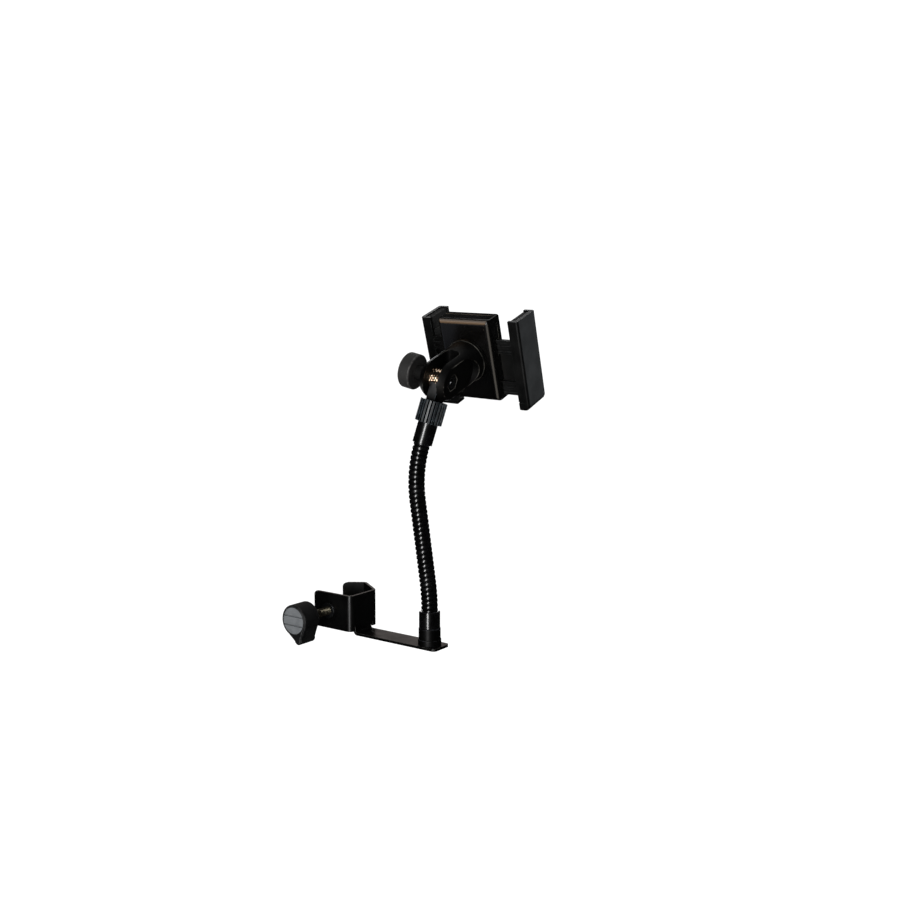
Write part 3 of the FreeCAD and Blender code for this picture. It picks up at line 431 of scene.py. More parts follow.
class Look(Enum):
    """The finishes of the holder."""

    # Black polyester powder coat on folded steel: satin and softly dimpled; its paler edges are
    # partly wear and partly painted highlight.
    POWDER_COAT = PowderCoat(
        name="Black polyester powder coat",
        slot="powder_coat",
        colour="#010101",
        drift_colour="#020202",
        wear_and_painted_light_colour="#4a4846",
        roughness=0.33,
        roughness_drift=0.05,
        drift_mm=16.0,
        grain_mm=1.1,
        grain_depth_mm=0.010,
        wear_and_painted_light=0.7,
        specular=0.3,
    )
    # Black stove enamel on the neck and ferrules: a deep gloss with crisp streaks of light.
    BLACK_ENAMEL = Finish(
        name="Black stove enamel on steel",
        slot="black_metal",
        colour="#010101",
        drift_colour="#030304",
        wear_and_painted_light_colour="#2a2b30",
        roughness=0.25,
        roughness_drift=0.05,
        drift_mm=9.0,
        grain_mm=1.6,
        grain_depth_mm=0.004,
        coat=0.35,
        coat_roughness=0.14,
    )
    # Unpolished black enamel on the collar: deep and dull, with faint edges.
    DULL_ENAMEL = Finish(
        name="Dull black enamel on steel",
        slot="black_metal",
        colour="#010101",
        drift_colour="#020202",
        wear_and_painted_light_colour="#2a2b30",
        roughness=0.42,
        roughness_drift=0.06,
        drift_mm=9.0,
        grain_mm=1.2,
        grain_depth_mm=0.01,
        specular=0.12,
    )
    # Black oxide on the pivot's nut and bolt: dark oily steel with painted glints on its edges.
    BLACK_OXIDE = PlatedMetal(
        name="Black oxide on steel",
        slot="black_metal",
        colour="#4c4d50",
        drift_colour="#38393b",
        wear_and_painted_light_colour="#c3c4c6",
        roughness=0.26,
        roughness_drift=0.08,
        drift_mm=3.0,
        grain_mm=0.35,
        grain_depth_mm=0.004,
        wear_and_painted_light=0.4,
        metallic=1.0,
        nick_and_painted_light_mm=1.6,
    )
    # Bright zinc plate on steel: pale blue-grey metal, cloudy, with drawn tool marks.
    ZINC = PlatedMetal(
        name="Bright zinc plate",
        slot="zinc",
        colour="#5a5c5f",
        drift_colour="#434548",
        wear_and_painted_light_colour="#a9abad",
        roughness=0.34,
        roughness_drift=0.08,
        drift_mm=3.0,
        grain_mm=0.35,
        grain_depth_mm=0.004,
        metallic=1.0,
    )
    # Yellow chromated zinc on a rolled screw: pale straw metal that shifts to rose and green.
    YELLOW_ZINC = YellowChromate(
        name="Yellow chromated zinc",
        slot="yellow_zinc",
        colour="#77705a",
        drift_colour="#70735f",
        wear_and_painted_light_colour="#d8d2be",
        roughness=0.3,
        roughness_drift=0.08,
        drift_mm=5.0,
        grain_mm=0.35,
        grain_depth_mm=0.004,
        metallic=1.0,
    )
    # Turned and knurled brass: pale rosy metal, bright on its ridges and tarnished between them.
    BRASS = Knurled(
        name="Knurled brass",
        slot="brass",
        colour="#e8d2bb",
        drift_colour="#9c7b5c",
        wear_and_painted_light_colour="#f3e2c8",
        roughness=0.2,
        roughness_drift=0.06,
        drift_mm=3.0,
        grain_mm=2.2,
        grain_depth_mm=0.3,
        metallic=1.0,
    )
    # Glass-filled nylon knob: matte charcoal, dense fine pits, edges rubbed to a paler grey.
    MATTE_NYLON = MouldedPlastic(
        name="Matte glass-filled nylon",
        slot="matte_black",
        colour="#030303",
        drift_colour="#060606",
        wear_and_painted_light_colour="#4c4c4d",
        roughness=0.6,
        roughness_drift=0.06,
        drift_mm=12.0,
        grain_mm=0.7,
        grain_depth_mm=0.03,
        wear_and_painted_light=0.3,
        specular=0.3,
    )
    # Grey ABS insert: satin plastic, a little cloudy, with painted shade as near-black lines along
    # its grooves' edges.
    GREY_INSERT = MouldedPlastic(
        name="Grey ABS insert",
        slot="grey_face",
        colour="#525456",
        drift_colour="#484a4c",
        wear_and_painted_light_colour="#0c0d0e",
        roughness=0.42,
        roughness_drift=0.06,
        drift_mm=7.0,
        grain_mm=0.6,
        grain_depth_mm=0.01,
        wear_and_painted_light=1.0,
        least_wear_and_painted_light=0.75,
    )
    # Nylon of the ribbed socket: blue-black satin with a waxy streak of light on its ribs, painted
    # highlight on the ribs' edges and painted shade between the ribs.
    SOCKET_NYLON = MouldedPlastic(
        name="Satin blue-black nylon",
        slot="hinge_plastic",
        colour="#030506",
        drift_colour="#06080a",
        wear_and_painted_light_colour="#5c6870",
        roughness=0.34,
        roughness_drift=0.06,
        drift_mm=10.0,
        grain_mm=0.7,
        grain_depth_mm=0.012,
        wear_and_painted_light=0.9,
        specular=0.5,
        nick_and_painted_light_mm=6.0,
        least_wear_and_painted_light=0.3,
    )
    # Nylon of the fork: dull deep black that shows little but the painted highlights on its edges.
    FORK_NYLON = MouldedPlastic(
        name="Dull black nylon",
        slot="hinge_plastic",
        colour="#020202",
        drift_colour="#030303",
        wear_and_painted_light_colour="#55534e",
        roughness=0.5,
        roughness_drift=0.06,
        drift_mm=10.0,
        grain_mm=0.7,
        grain_depth_mm=0.014,
        wear_and_painted_light=0.65,
        specular=0.1,
        nick_and_painted_light_mm=12.0,
    )
    # Soft-touch grey plastic of the pivot knob: dull warm grey that hardly shines.
    KNOB_PLASTIC = MouldedPlastic(
        name="Dull grey polypropylene",
        slot="knob_grey",
        colour="#141313",
        drift_colour="#1a1918",
        wear_and_painted_light_colour="#4c4a48",
        roughness=0.66,
        roughness_drift=0.05,
        drift_mm=14.0,
        grain_mm=0.8,
        grain_depth_mm=0.03,
    )
    # Polished black ABS of the box: deep, faintly rippled, with long pale streaks of painted
    # highlight on its edges.
    POLISHED_ABS = Finish(
        name="Polished black ABS",
        slot="cradle_black",
        colour="#010101",
        drift_colour="#020202",
        wear_and_painted_light_colour="#8f8b82",
        roughness=0.22,
        roughness_drift=0.03,
        drift_mm=30.0,
        grain_mm=14.0,
        grain_depth_mm=0.006,
        wear_and_painted_light=0.3,
        nick_and_painted_light_mm=30.0,
    )
    # Textured black ABS of the jaws: satin with fine pits, edges a touch paler.
    SATIN_ABS = MouldedPlastic(
        name="Satin black ABS",
        slot="jaw_black",
        colour="#010101",
        drift_colour="#020202",
        wear_and_painted_light_colour="#3c3f40",
        roughness=0.42,
        roughness_drift=0.05,
        drift_mm=18.0,
        grain_mm=0.8,
        grain_depth_mm=0.016,
        wear_and_painted_light=0.4,
        nick_and_painted_light_mm=7.0,
    )
    # Moulded rubber pads: dead matte black with a trace of dust in the hollows.
    RUBBER = MouldedPlastic(
        name="Black moulded rubber",
        slot="rubber",
        colour="#0b0b0b",
        drift_colour="#121212",
        wear_and_painted_light_colour="#333332",
        roughness=0.82,
        roughness_drift=0.06,
        drift_mm=6.0,
        grain_mm=0.9,
        grain_depth_mm=0.03,
    )


class Palette:
    """Makes each finish's material once."""

    def __init__(self) -> None:
        """Start with no material made."""
        self.made: dict[Look, bpy.types.Material] = {}

    def material(self, look: Look) -> bpy.types.Material:
        """Give a finish's material.

        Args:
            look: the finish.

        Returns:
            Its material, the same one each time.
        """
        if look not in self.made:
            self.made[look] = look.value.material()
        return self.made[look]


@dataclass(frozen=True)
class Rounding:
    """How the outer edges of a piece are broken.

    The rounding reaches width_mm from each edge, in so many segments. An edge is left sharp if
    another edge at its ends is shorter than room_mm. With clamp, the shortest edge limits the
    width of all roundings.
    """

    width_mm: float
    segments: int = 2
    room_mm: float = 0.0
    clamp: bool = True


@dataclass
class SubAssembly:
    """Pieces of the holder that are built and dressed together."""

    nodes: dict[str, bpy.types.Object]
    palette: Palette
    crease_deg: float = 26.0
    shade_deg: float = 34.0
    flat_deg: float = 0.3
    weld_mm: float = 0.004

    def keep(self, node: str, look: Look) -> bpy.types.Object:
        """Leave a solid as it is and give it its finish.

        Args:
            node: the solid's name.
            look: its finish.

        Returns:
            The solid's own object.
        """
        piece = self.nodes[node]
        piece.data.materials.clear()
        piece.data.materials.append(self.palette.material(look))
        return piece

    def place(self, shape: bmesh.types.BMesh, name: str, look: Look) -> bpy.types.Object:
        """Turn a finished shape into a piece of the scene.

        Args:
            shape: the shape, in its final place; it is freed here.
            name: the piece's name.
            look: its finish.

        Returns:
            The new piece, which still has to ride on a body.
        """
        mesh = bpy.data.meshes.new(name)
        shape.to_mesh(mesh)
        shape.free()
        mesh.materials.append(self.palette.material(look))
        piece = bpy.data.objects.new(name, mesh)
        bpy.context.scene.collection.objects.link(piece)
        return piece

    def smooth(self, shape: bmesh.types.BMesh) -> None:
        """Shade a shape smooth, with hard shading left at its creases."""
        limit = math.radians(self.shade_deg)
        for face in shape.faces:
            face.smooth = True
        for edge in shape.edges:
            edge.smooth = len(edge.link_faces) == 2 and edge.calc_face_angle() < limit

    def welded(self, node: str) -> bmesh.types.BMesh:
        """Copy a solid's loose triangles into one closed shape with whole flat faces.

        Args:
            node: the solid's name.

        Returns:
            The new shape.
        """
        shape = bmesh.new()
        shape.from_mesh(self.nodes[node].data)
        bmesh.ops.remove_doubles(shape, verts=shape.verts, dist=self.weld_mm * MM)
        bmesh.ops.dissolve_limit(
            shape,
            angle_limit=math.radians(self.flat_deg),
            verts=shape.verts,
            edges=shape.edges,
        )
        return shape

    def outer_edges(self, shape: bmesh.types.BMesh, room_mm: float) -> list[bmesh.types.BMEdge]:
        """Find the outer edges of a shape that have room for a rounding.

        Args:
            shape: the shape.
            room_mm: the least length of the other edges at an outer edge's ends.

        Returns:
            The edges, in the shape's order.
        """
        limit = math.radians(self.crease_deg)
        outer = [
            e for e in shape.edges if e.is_manifold and e.is_convex and e.calc_face_angle() > limit
        ]
        known = set(outer)
        return [
            edge
            for edge in outer
            if all(
                beside in known or beside.calc_length() > room_mm * MM
                for end in edge.verts
                for beside in end.link_edges
            )
        ]

    def break_edges(self, shape: bmesh.types.BMesh, rounding: Rounding) -> None:
        """Round a shape's outer edges and mark them for wear, painted highlight and painted shade.

        Args:
            shape: the shape to change.
            rounding: how its edges are broken.
        """
        mark = shape.loops.layers.float.new(EDGE_MARK)
        made = bmesh.ops.bevel(
            shape,
            geom=self.outer_edges(shape, rounding.room_mm),
            offset=rounding.width_mm * MM,
            offset_type="OFFSET",
            affect="EDGES",
            segments=rounding.segments,
            profile=0.5,
            material=-1,
            clamp_overlap=rounding.clamp,
        )
        for face in made["faces"]:
            for loop in face.loops:
                loop[mark] = 1.0

    def rounded(
        self,
        node: str,
        look: Look,
        rounding: Rounding,
        depth: Callable[[Vector, Vector], float] | None = None,
    ) -> bpy.types.Object:
        """Stand a copy with softly broken edges in for a solid.

        Args:
            node: the solid's name.
            look: its finish.
            rounding: how its edges are broken.
            depth: tells from a point and its face's normal how much painted shade it gets, 0 to 1.

        Returns:
            The new piece, riding where the solid rides.
        """
        shape = self.welded(node)
        self.break_edges(shape, rounding)
        # Painted shade is marked on each corner, as much as depth gives.
        if depth is not None:
            mark = shape.loops.layers.float.new(PAINTED_SHADE_MARK)
            shape.normal_update()
            for face in shape.faces:
                for loop in face.loops:
                    loop[mark] = depth(loop.vert.co, face.normal)
        self.smooth(shape)
        piece = self.place(shape, f"{node}_finished", look)
        flat = piece.modifiers.new("Flat faces stay flat", "WEIGHTED_NORMAL")
        flat.keep_sharp = True
        flat.weight = FLAT_WEIGHT
        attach(piece, self.nodes[node]["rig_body"])
        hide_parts(node)
        return piece

    def wound(
        self,
        profile: list[tuple[float, float, float]],
        axis: Vector,
        pitch: float,
        turns: int,
        steps: int,
        ends: tuple[float, float],
    ) -> bmesh.types.BMesh:
        """Wind the outline of one turn round an axis through the origin, as a screw thread is.

        Args:
            profile: the points of the outline.
            axis: the direction of the axis.
            pitch: the rise of one turn.
            turns: how many turns are wound.
            steps: facets in one turn.
            ends: where along the axis the thread is cut off square.

        Returns:
            The closed thread.
        """
        shape = bmesh.new()
        points = [shape.verts.new(point) for point in profile]
        lines = [shape.edges.new(pair) for pair in zip(points, points[1:])]
        bmesh.ops.spin(
            shape,
            geom=points + lines,
            cent=(0.0, 0.0, 0.0),
            axis=axis,
            dvec=axis * (pitch / steps),
            angle=math.tau * turns,
            steps=steps * turns,
            use_merge=False,
        )
        bmesh.ops.remove_doubles(shape, verts=shape.verts, dist=self.weld_mm * MM)
        for height, top in zip(ends, (False, True)):
            bmesh.ops.bisect_plane(
                shape,
                geom=shape.verts[:] + shape.edges[:] + shape.faces[:],
                plane_co=axis * height,
                plane_no=axis,
                clear_outer=top,
                clear_inner=not top,
            )
        bmesh.ops.holes_fill(shape, edges=shape.edges, sides=0)
        bmesh.ops.recalc_face_normals(shape, faces=shape.faces)
        return shape

    def build(self) -> list[bpy.types.Object]:
        """Build and dress the pieces; each sub-assembly has its own."""
        raise NotImplementedError


@dataclass
class StandClamp(SubAssembly):
    """The folded bracket that hooks round the stand tube, and the screw that tightens it."""

    screw_radius_mm: float = 4.0
    thread_depth_mm: float = 0.55
    thread_pitch_mm: float = 1.25
    thread_steps: int = 24
    crest_shares: tuple[float, float] = (0.44, 0.56)

    def build(self) -> list[bpy.types.Object]:
        """Build the clamp.

        Returns:
            Its pieces.
        """
        return [
            self.rounded("clamp_bracket", Look.POWDER_COAT, Rounding(0.45, 3)),
            self.rounded("clamp_knob", Look.MATTE_NYLON, Rounding(0.35)),
            self.rounded("knob_face", Look.GREY_INSERT, Rounding(0.5, 1)),
            self.threaded_screw(),
            self.rounded("rivet_nut", Look.ZINC, Rounding(0.15, 1)),
            self.keep("pressure_pad", Look.RUBBER),
        ]

    def threaded_screw(self) -> bpy.types.Object:
        """Cut a thread into the clamp screw, between its turned ends.

        Returns:
            The threaded screw.
        """
        low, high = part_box("clamp_screw")
        pitch = self.thread_pitch_mm * MM
        crest = self.screw_radius_mm * MM
        root = crest - self.thread_depth_mm * MM
        turns = math.ceil((high.y - low.y) / pitch) + 1
        rise, fall = self.crest_shares
        profile = [
            (0.0, low.y - pitch + share * pitch, radius)
            for share, radius in ((0.0, root), (rise, crest), (fall, crest), (1.0, root))
        ]
        axis = Vector((0.0, 1.0, 0.0))
        shape = self.wound(profile, axis, pitch, turns, self.thread_steps, (low.y, high.y))
        self.smooth(shape)
        piece = self.place(shape, "clamp_screw_threaded", Look.YELLOW_ZINC)
        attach(piece, self.nodes["clamp_screw"]["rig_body"])
        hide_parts("clamp_screw")
        return piece


@dataclass
class NeckFoot(SubAssembly):
    """The ferrule, collar and screw that hold the gooseneck on the strip."""

    def build(self) -> list[bpy.types.Object]:
        """Build the foot.

        Returns:
            Its pieces.
        """
        return [
            self.rounded("lower_collar", Look.DULL_ENAMEL, Rounding(0.35)),
            self.rounded("lower_ferrule", Look.BLACK_ENAMEL, Rounding(0.3)),
            self.rounded("base_screw", Look.BLACK_ENAMEL, Rounding(0.2)),
        ]


class Half(Enum):
    """The two halves of the gooseneck, each named with the bodies at its two ends."""

    LOWER = ("bracket", "neck")
    UPPER = ("neck", "head")


@dataclass
class Gooseneck(SubAssembly):
    """The bendable neck: a tube with one rounded corrugation wound along it as a screw thread.
    """

    foot_mm: tuple[float, float, float] = (106.0, -25.0, 2.6)
    heading_deg: float = 35.8
    straight_mm: float = 10.0
    low_bend_mm: float = 220.0
    low_lean_deg: float = 6.9
    run_mm: float = 73.2
    top_bend_mm: float = 126.0
    top_lean_deg: float = 16.2
    radius_mm: float = 7.5
    groove_mm: float = 0.95
    pitch_mm: float = 4.2
    steps: int = 32
    crest_parts: int = 10
    stiff_mm: float = 15.0

    def stretches(self) -> list[tuple[float, float]]:
        """List the neck's stretches from the foot up.

        Returns:
            Each one's length, and its change of lean in radians, in order.
        """
        low = math.radians(self.low_lean_deg)
        top = math.radians(self.low_lean_deg + self.top_lean_deg)
        return [
            (self.straight_mm, 0.0),
            (self.low_bend_mm * low, -low),
            (self.run_mm, 0.0),
            (self.top_bend_mm * top, top),
            (self.straight_mm, 0.0),
        ]

    def length_mm(self) -> float:
        """Give the length along the neck."""
        return sum(length for length, _ in self.stretches())

    def level(self) -> tuple[Vector, Vector]:
        """Give the level directions in which the neck leans, and square to that."""
        turn = math.radians(self.heading_deg)
        ahead = Vector((math.cos(turn), math.sin(turn), 0.0))
        return ahead, Vector((-math.sin(turn), math.cos(turn), 0.0))

    def state(self, along_mm: float) -> tuple[Vector, float]:
        """Find the centre line at a distance from its foot.

        Args:
            along_mm: the distance along the neck.

        Returns:
            The point in metres, and the neck's lean there in radians.
        """
        ahead, _ = self.level()
        point = Vector(self.foot_mm)
        lean = 0.0
        left = along_mm
        for length, change in self.stretches():
            part = min(left, length)
            turn = change * part / length
            middle = lean + turn / 2
            chord = part if abs(turn) < 1e-9 else 2 * math.sin(turn / 2) * part / turn
            point = point + (ahead * math.sin(middle) + UP * math.cos(middle)) * chord
            lean += turn
            left -= part
        return point * MM, lean

    def tip(self) -> tuple[Vector, Vector]:
        """Find the neck's upper end.

        Returns:
            Its middle in metres, and the direction in which it points.
        """
        end, lean = self.state(self.length_mm())
        ahead, _ = self.level()
        return end, ahead * math.sin(lean) + UP * math.cos(lean)

    def bent(self, place: Vector) -> Vector:
        """Carry a point of the straight tube onto the bent one.

        Args:
            place: the point, with its height along the neck.

        Returns:
            Where it lies on the bent neck.
        """
        centre, lean = self.state(place.z / MM)
        ahead, beside = self.level()
        across = ahead * math.cos(lean) - UP * math.sin(lean)
        return centre + across * place.x + beside * place.y

    def half(self, half: Half) -> bpy.types.Object:
        """Build one half of the neck.

        Args:
            half: which half.

        Returns:
            The piece, in its place on the neck.
        """
        total = self.length_mm()
        low, high = (0.0, total / 2) if half is Half.LOWER else (total / 2, total)
        pitch = self.pitch_mm * MM
        first = math.floor(low / self.pitch_mm) - 1
        turns = math.ceil(high / self.pitch_mm) - first
        profile = []
        for i in range(self.crest_parts + 1):
            share = i / self.crest_parts
            crown = math.sqrt(max(0.0, 1 - (2 * share - 1) ** 2))
            radius = (self.radius_mm - self.groove_mm * (1 - crown)) * MM
            profile.append((radius, 0.0, (first + share) * pitch))
        shape = self.wound(profile, UP, pitch, turns, self.steps, (low * MM, high * MM))
        for vert in shape.verts:
            vert.co = self.bent(vert.co)
        self.smooth(shape)
        piece = self.place(shape, f"gooseneck_{half.name.lower()}", Look.BLACK_ENAMEL)
        start, _ = self.state(low + self.stiff_mm)
        stop, _ = self.state(high)
        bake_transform(piece)
        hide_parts("gooseneck")
        return piece

    def build(self) -> list[bpy.types.Object]:
        """Build the neck.

        Returns:
            Its two halves.
        """
        return [self.half(half) for half in Half]


@dataclass
class NeckHead(SubAssembly):
    """The ferrule at the top of the neck and the ribbed socket with the hinge's stem."""

    ribs_start_mm: float = 9.1
    ribs_stop_mm: float = 28.9
    rib_radius_mm: float = 12.1
    rib_depth_mm: float = 0.9
    rib_margin_mm: float = 0.2

    @cached_property
    def seat(self) -> tuple[Vector, Vector]:
        """The neck's upper end, and the direction in which it points."""
        return Gooseneck(self.nodes, self.palette).tip()

    def between_ribs(self, place: Vector, normal: Vector) -> float:
        """Tell how much painted shade a point gets, by how far below the socket's ribs it lies.

        Args:
            place: the point.
            normal: the normal of its face.

        Returns:
            Painted shade: 0 on the ribs and away from them, 1 on the floor between them.
        """
        end, axis = self.seat
        along = (place - end).dot(axis)
        low = self.ribs_start_mm - self.rib_margin_mm
        high = self.ribs_stop_mm + self.rib_margin_mm
        if not low < along / MM < high or abs(normal.dot(axis)) > SIDE_LIMIT:
            return 0.0
        out = (place - end - axis * along).length / MM
        return min(1.0, max(0.0, (self.rib_radius_mm - out) / self.rib_depth_mm))

    def build(self) -> list[bpy.types.Object]:
        """Build the head.

        Returns:
            Its pieces.
        """
        return [
            self.rounded("upper_ferrule", Look.BLACK_ENAMEL, Rounding(0.3)),
            self.rounded("hinge_base", Look.SOCKET_NYLON, Rounding(0.3), depth=self.between_ribs),
            self.keep("pivot_barrel", Look.BRASS),
        ]


@dataclass
class TiltFork(SubAssembly):
    """The round-ended fork that tilts on the stem, with its bolt and knob.

    The pivot is in metres, and its axis has a length of one.
    """

    weld_mm: float = 0.2
    pivot: tuple[float, float, float] = (0.1141, -0.0191, 0.2182)
    pivot_axis: tuple[float, float, float] = (0.9646, 0.0997, -0.2442)
    hub_radius_mm: float = 7.0
    hub_margin_mm: float = 0.5
    hub_shade: float = 0.7

    def on_hub(self, place: Vector, normal: Vector) -> float:
        """Tell whether a point lies on the knob's hub, in the shade of its grip.

        Args:
            place: the point.
            normal: the normal of its face.

        Returns:
            The hub's shade on its round side, and 0 elsewhere.
        """
        axis = Vector(self.pivot_axis)
        arm = place - Vector(self.pivot)
        out = (arm - axis * arm.dot(axis)).length / MM
        round_side = abs(normal.dot(axis)) < SIDE_LIMIT
        near = out < self.hub_radius_mm + self.hub_margin_mm
        return self.hub_shade if round_side and near else 0.0

    def build(self) -> list[bpy.types.Object]:
        """Build the fork.

        Returns:
            Its pieces.
        """
        return [
            self.rounded("pivot_fork", Look.FORK_NYLON, Rounding(0.35, room_mm=0.9, clamp=False)),
            self.rounded("pivot_knob", Look.KNOB_PLASTIC, Rounding(0.5, 3), depth=self.on_hub),
            self.rounded("pivot_bolt", Look.BLACK_OXIDE, Rounding(0.3)),
            self.rounded("pivot_nut", Look.BLACK_OXIDE, Rounding(0.6, 3)),
            self.keep("swivel_screw", Look.ZINC),
            self.keep("swivel_nut", Look.ZINC),
        ]


@dataclass
class PhoneCradle(SubAssembly):
    """The box and the two jaws that slide out of it to hold a phone."""

    def build(self) -> list[bpy.types.Object]:
        """Build the cradle.

        Returns:
            Its pieces.
        """
        return [
            self.rounded("rear_housing", Look.POLISHED_ABS, Rounding(0.55, 3)),
            self.rounded("front_plate", Look.POLISHED_ABS, Rounding(0.3)),
            self.rounded("front_pad", Look.RUBBER, Rounding(0.4)),
            self.keep("housing_screws", Look.ZINC),
            self.rounded("left_jaw", Look.SATIN_ABS, Rounding(0.45, room_mm=0.45)),
            self.rounded("right_jaw", Look.SATIN_ABS, Rounding(0.6, 3)),
            self.rounded("left_jaw_pad", Look.RUBBER, Rounding(0.3)),
            self.rounded("right_jaw_pad", Look.RUBBER, Rounding(0.3)),
            self.keep("jaw_pinion", Look.MATTE_NYLON),
        ]


@dataclass(frozen=True)
class SoftBox:
    """One soft studio light, with its sizes in metres; only names the pieces that it lights."""

    name: str
    place: tuple[float, float, float]
    aim: tuple[float, float, float]
    width: float
    height: float
    watts: float
    colour: str = "#ffffff"
    only: tuple[str, ...] = ()

    def build(self) -> bpy.types.Object:
        """Hang the light, which shines on all pieces or only on the ones that it names.

        Returns:
            The light's object.
        """
        lamp = bpy.data.lights.new(self.name, "AREA")
        lamp.shape = "RECTANGLE"
        lamp.size = self.width
        lamp.size_y = self.height
        lamp.energy = self.watts
        lamp.color = linear(self.colour)[:3]
        made = bpy.data.objects.new(self.name, lamp)
        made.location = self.place
        beam = Vector(self.aim) - Vector(self.place)
        made.rotation_euler = beam.to_track_quat("-Z", "Y").to_euler()
        made.visible_camera = False
        bpy.context.scene.collection.objects.link(made)
        if self.only:
            lit = bpy.data.collections.new(f"{self.name}_pieces")
            for piece in self.only:
                lit.objects.link(bpy.data.objects[piece])
            made.light_linking.receiver_collection = lit
        return made


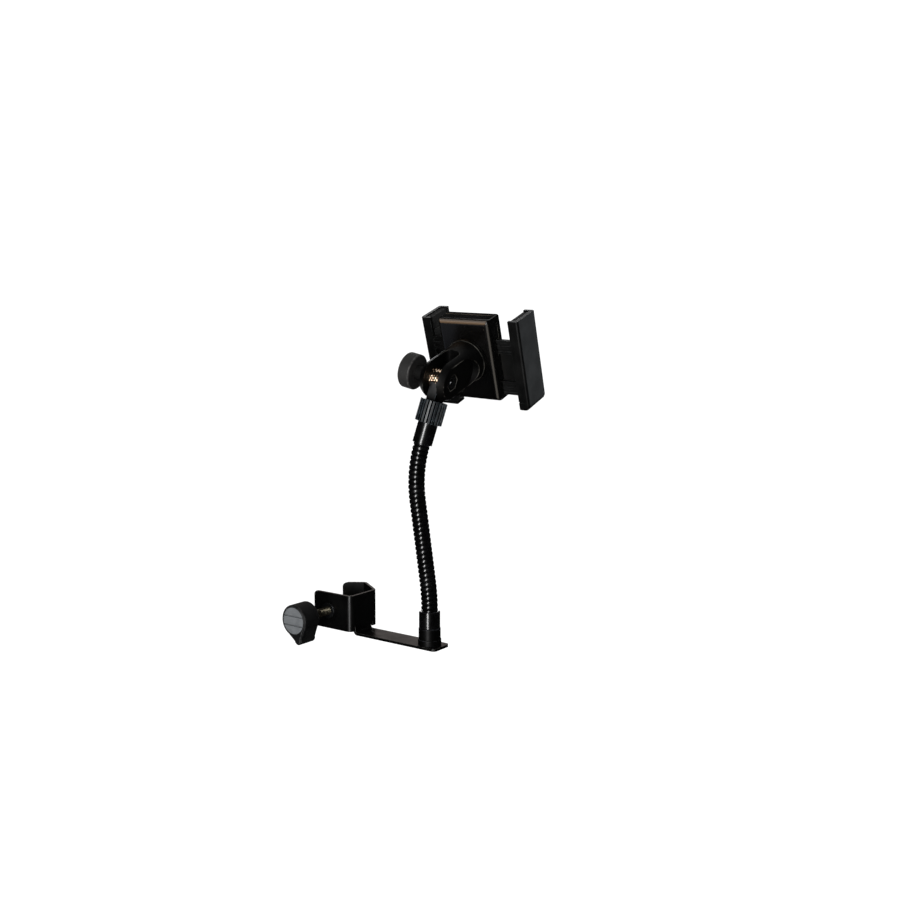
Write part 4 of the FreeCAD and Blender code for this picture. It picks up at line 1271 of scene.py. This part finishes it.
@dataclass
class Studio:
    """The pale floor, the soft light and the camera at the photograph's view."""

    floor_height: float = -0.36
    floor_size: float = 24.0
    room_light: float = 0.016
    paper_light: float = 1.12
    camera_place: tuple[float, float, float] = (0.6297, -0.7202, 0.2391)
    camera_turn_deg: tuple[float, float, float] = (84.56, 0.0, 35.79)
    camera_lens: float = 39.77
    camera_sensor: float = 36.0

    def lights(self) -> list[SoftBox]:
        """List the studio's lights.

        Returns:
            The soft boxes, the widest reaching first.
        """
        middle = (0.09, -0.01, 0.12)
        cradle = (0.12, 0.02, 0.24)
        head = (0.11, -0.03, 0.2)
        box = ("rear_housing_finished", "front_plate_finished")
        rims = box + ("pivot_fork_finished", "pivot_nut_finished")
        base = ("clamp_bracket_finished", "clamp_knob_finished", "knob_face_finished")
        socket = ("hinge_base_finished",)
        jaws = (
            "right_jaw_finished",
            "right_jaw_pad_finished",
            "left_jaw_pad_finished",
            "front_pad_finished",
        )
        left = ("left_jaw_finished", "pivot_knob_finished", "pivot_fork_finished")
        shown = {piece.name for piece in bpy.data.objects if piece.type == "MESH"}
        others = tuple(sorted(shown - set(base + box)))
        return [
            SoftBox("key_strip", (0.42, -1.05, 0.12), middle, 0.19, 0.94, 12.5),
            SoftBox("overhead_box", (0.0, 0.3, 1.3), middle, 0.9, 0.5, 2.5),
            SoftBox("warm_box", (-0.58, -0.66, 0.94), cradle, 1.0, 0.8, 8.0, "#ffebda", box),
            SoftBox("amber_card", (-0.26, -0.58, 0.38), cradle, 0.7, 0.5, 4.0, "#ffd2a6", box),
            SoftBox("blue_card", (-0.21, -0.39, 0.03), cradle, 0.7, 0.2, 0.2, "#d2dcf0", box),
            SoftBox("edge_card", (0.38, -0.26, -0.06), cradle, 0.3, 0.3, 0.6, "#fff4e6", rims),
            SoftBox("jaw_card", (0.54, 0.74, 0.24), cradle, 0.5, 0.5, 0.45, "#eef4f8", jaws),
            SoftBox("stem_card", (-0.11, -0.58, 0.33), head, 0.2, 0.2, 0.32, "#ffffff", socket),
            SoftBox("rib_strip", (0.85, 0.28, 0.2), head, 0.25, 0.5, 2.0, "#ffffff", socket),
            SoftBox("back_fill", (-0.9, 1.1, 0.38), middle, 0.9, 1.45, 15.0, "#ffffff", others),
            SoftBox("left_card", (-0.85, 0.42, 0.15), cradle, 0.8, 0.9, 3.2, "#ffffff", left),
            SoftBox("low_card", (-0.75, 0.85, -0.2), middle, 0.9, 0.3, 3.0, "#ffffff", base),
            SoftBox("back_paper", (-0.75, 1.5, 0.55), middle, 2.4, 1.0, 3.4, "#fff3ee", base),
        ]

    def floor(self) -> bpy.types.Object:
        """Lay the floor.

        Returns:
            The floor, which no reflection shows.
        """
        shape = bmesh.new()
        bmesh.ops.create_grid(shape, x_segments=1, y_segments=1, size=self.floor_size / 2)
        bmesh.ops.translate(shape, verts=shape.verts, vec=(0.0, 0.0, self.floor_height))
        mesh = bpy.data.meshes.new("floor")
        shape.to_mesh(mesh)
        shape.free()
        paper = bpy.data.materials.new("Matte white paper")
        paper.use_nodes = True
        shader = paper.node_tree.nodes["Principled BSDF"]
        shader.inputs["Base Color"].default_value = linear("#fdfdfd")
        shader.inputs["Roughness"].default_value = 0.9
        shader.inputs["Specular IOR Level"].default_value = 0.1
        mesh.materials.append(paper)
        made = bpy.data.objects.new("floor", mesh)
        made.visible_glossy = False
        bpy.context.scene.collection.objects.link(made)
        return made

    def room(self) -> None:
        """Surround the set with white paper, and with a dim room where it would mirror in black."""
        world = bpy.data.worlds.new("Pale studio")
        world.use_nodes = True
        tree = world.node_tree
        tree.nodes.clear()
        path = add_node(tree, "ShaderNodeLightPath")
        lit = add_node(
            tree,
            "ShaderNodeMath",
            {0: path.outputs["Is Camera Ray"], 1: path.outputs["Is Diffuse Ray"]},
            operation="MAXIMUM",
        )
        dim = add_node(
            tree, "ShaderNodeBackground", {"Color": linear("#f3f4f6"), "Strength": self.room_light}
        )
        white = add_node(
            tree,
            "ShaderNodeBackground",
            {"Color": linear("#ffffff"), "Strength": self.paper_light},
        )
        seen = add_node(
            tree,
            "ShaderNodeMixShader",
            {
                0: lit.outputs["Value"],
                1: dim.outputs["Background"],
                2: white.outputs["Background"],
            },
        )
        add_node(tree, "ShaderNodeOutputWorld", {"Surface": seen.outputs["Shader"]})
        bpy.context.scene.world = world

    def camera(self) -> bpy.types.Object:
        """Set the camera where the photograph was taken from.

        Returns:
            The camera.
        """
        lens = bpy.data.cameras.new("photo_camera")
        lens.sensor_width = self.camera_sensor
        lens.lens = self.camera_lens
        lens.clip_start = 0.01
        lens.clip_end = 100.0
        made = bpy.data.objects.new("photo_camera", lens)
        made.location = self.camera_place
        made.rotation_euler = [math.radians(turn) for turn in self.camera_turn_deg]
        bpy.context.scene.collection.objects.link(made)
        bpy.context.scene.camera = made
        return made

    def build(self) -> None:
        """Set up the studio."""
        self.room()
        for box in self.lights():
            box.build()
        self.floor()
        self.camera()
        bpy.context.scene.view_settings.view_transform = "Standard"


def main() -> None:
    """Load the solids, dress each sub-assembly in turn and set up the studio."""
    logging.basicConfig(level=logging.INFO, format="%(name)s: %(message)s")
    for leftover in list(bpy.data.objects):
        bpy.data.objects.remove(leftover)
    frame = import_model()
    palette = Palette()
    kinds = (StandClamp, NeckFoot, Gooseneck, NeckHead, TiltFork, PhoneCradle)
    for kind in kinds:
        for piece in kind(frame["nodes"], palette).build():
            LOG.info("%s built %s", kind.__name__, piece.name)
    Studio().build()


if __name__ == "__main__":
    main()
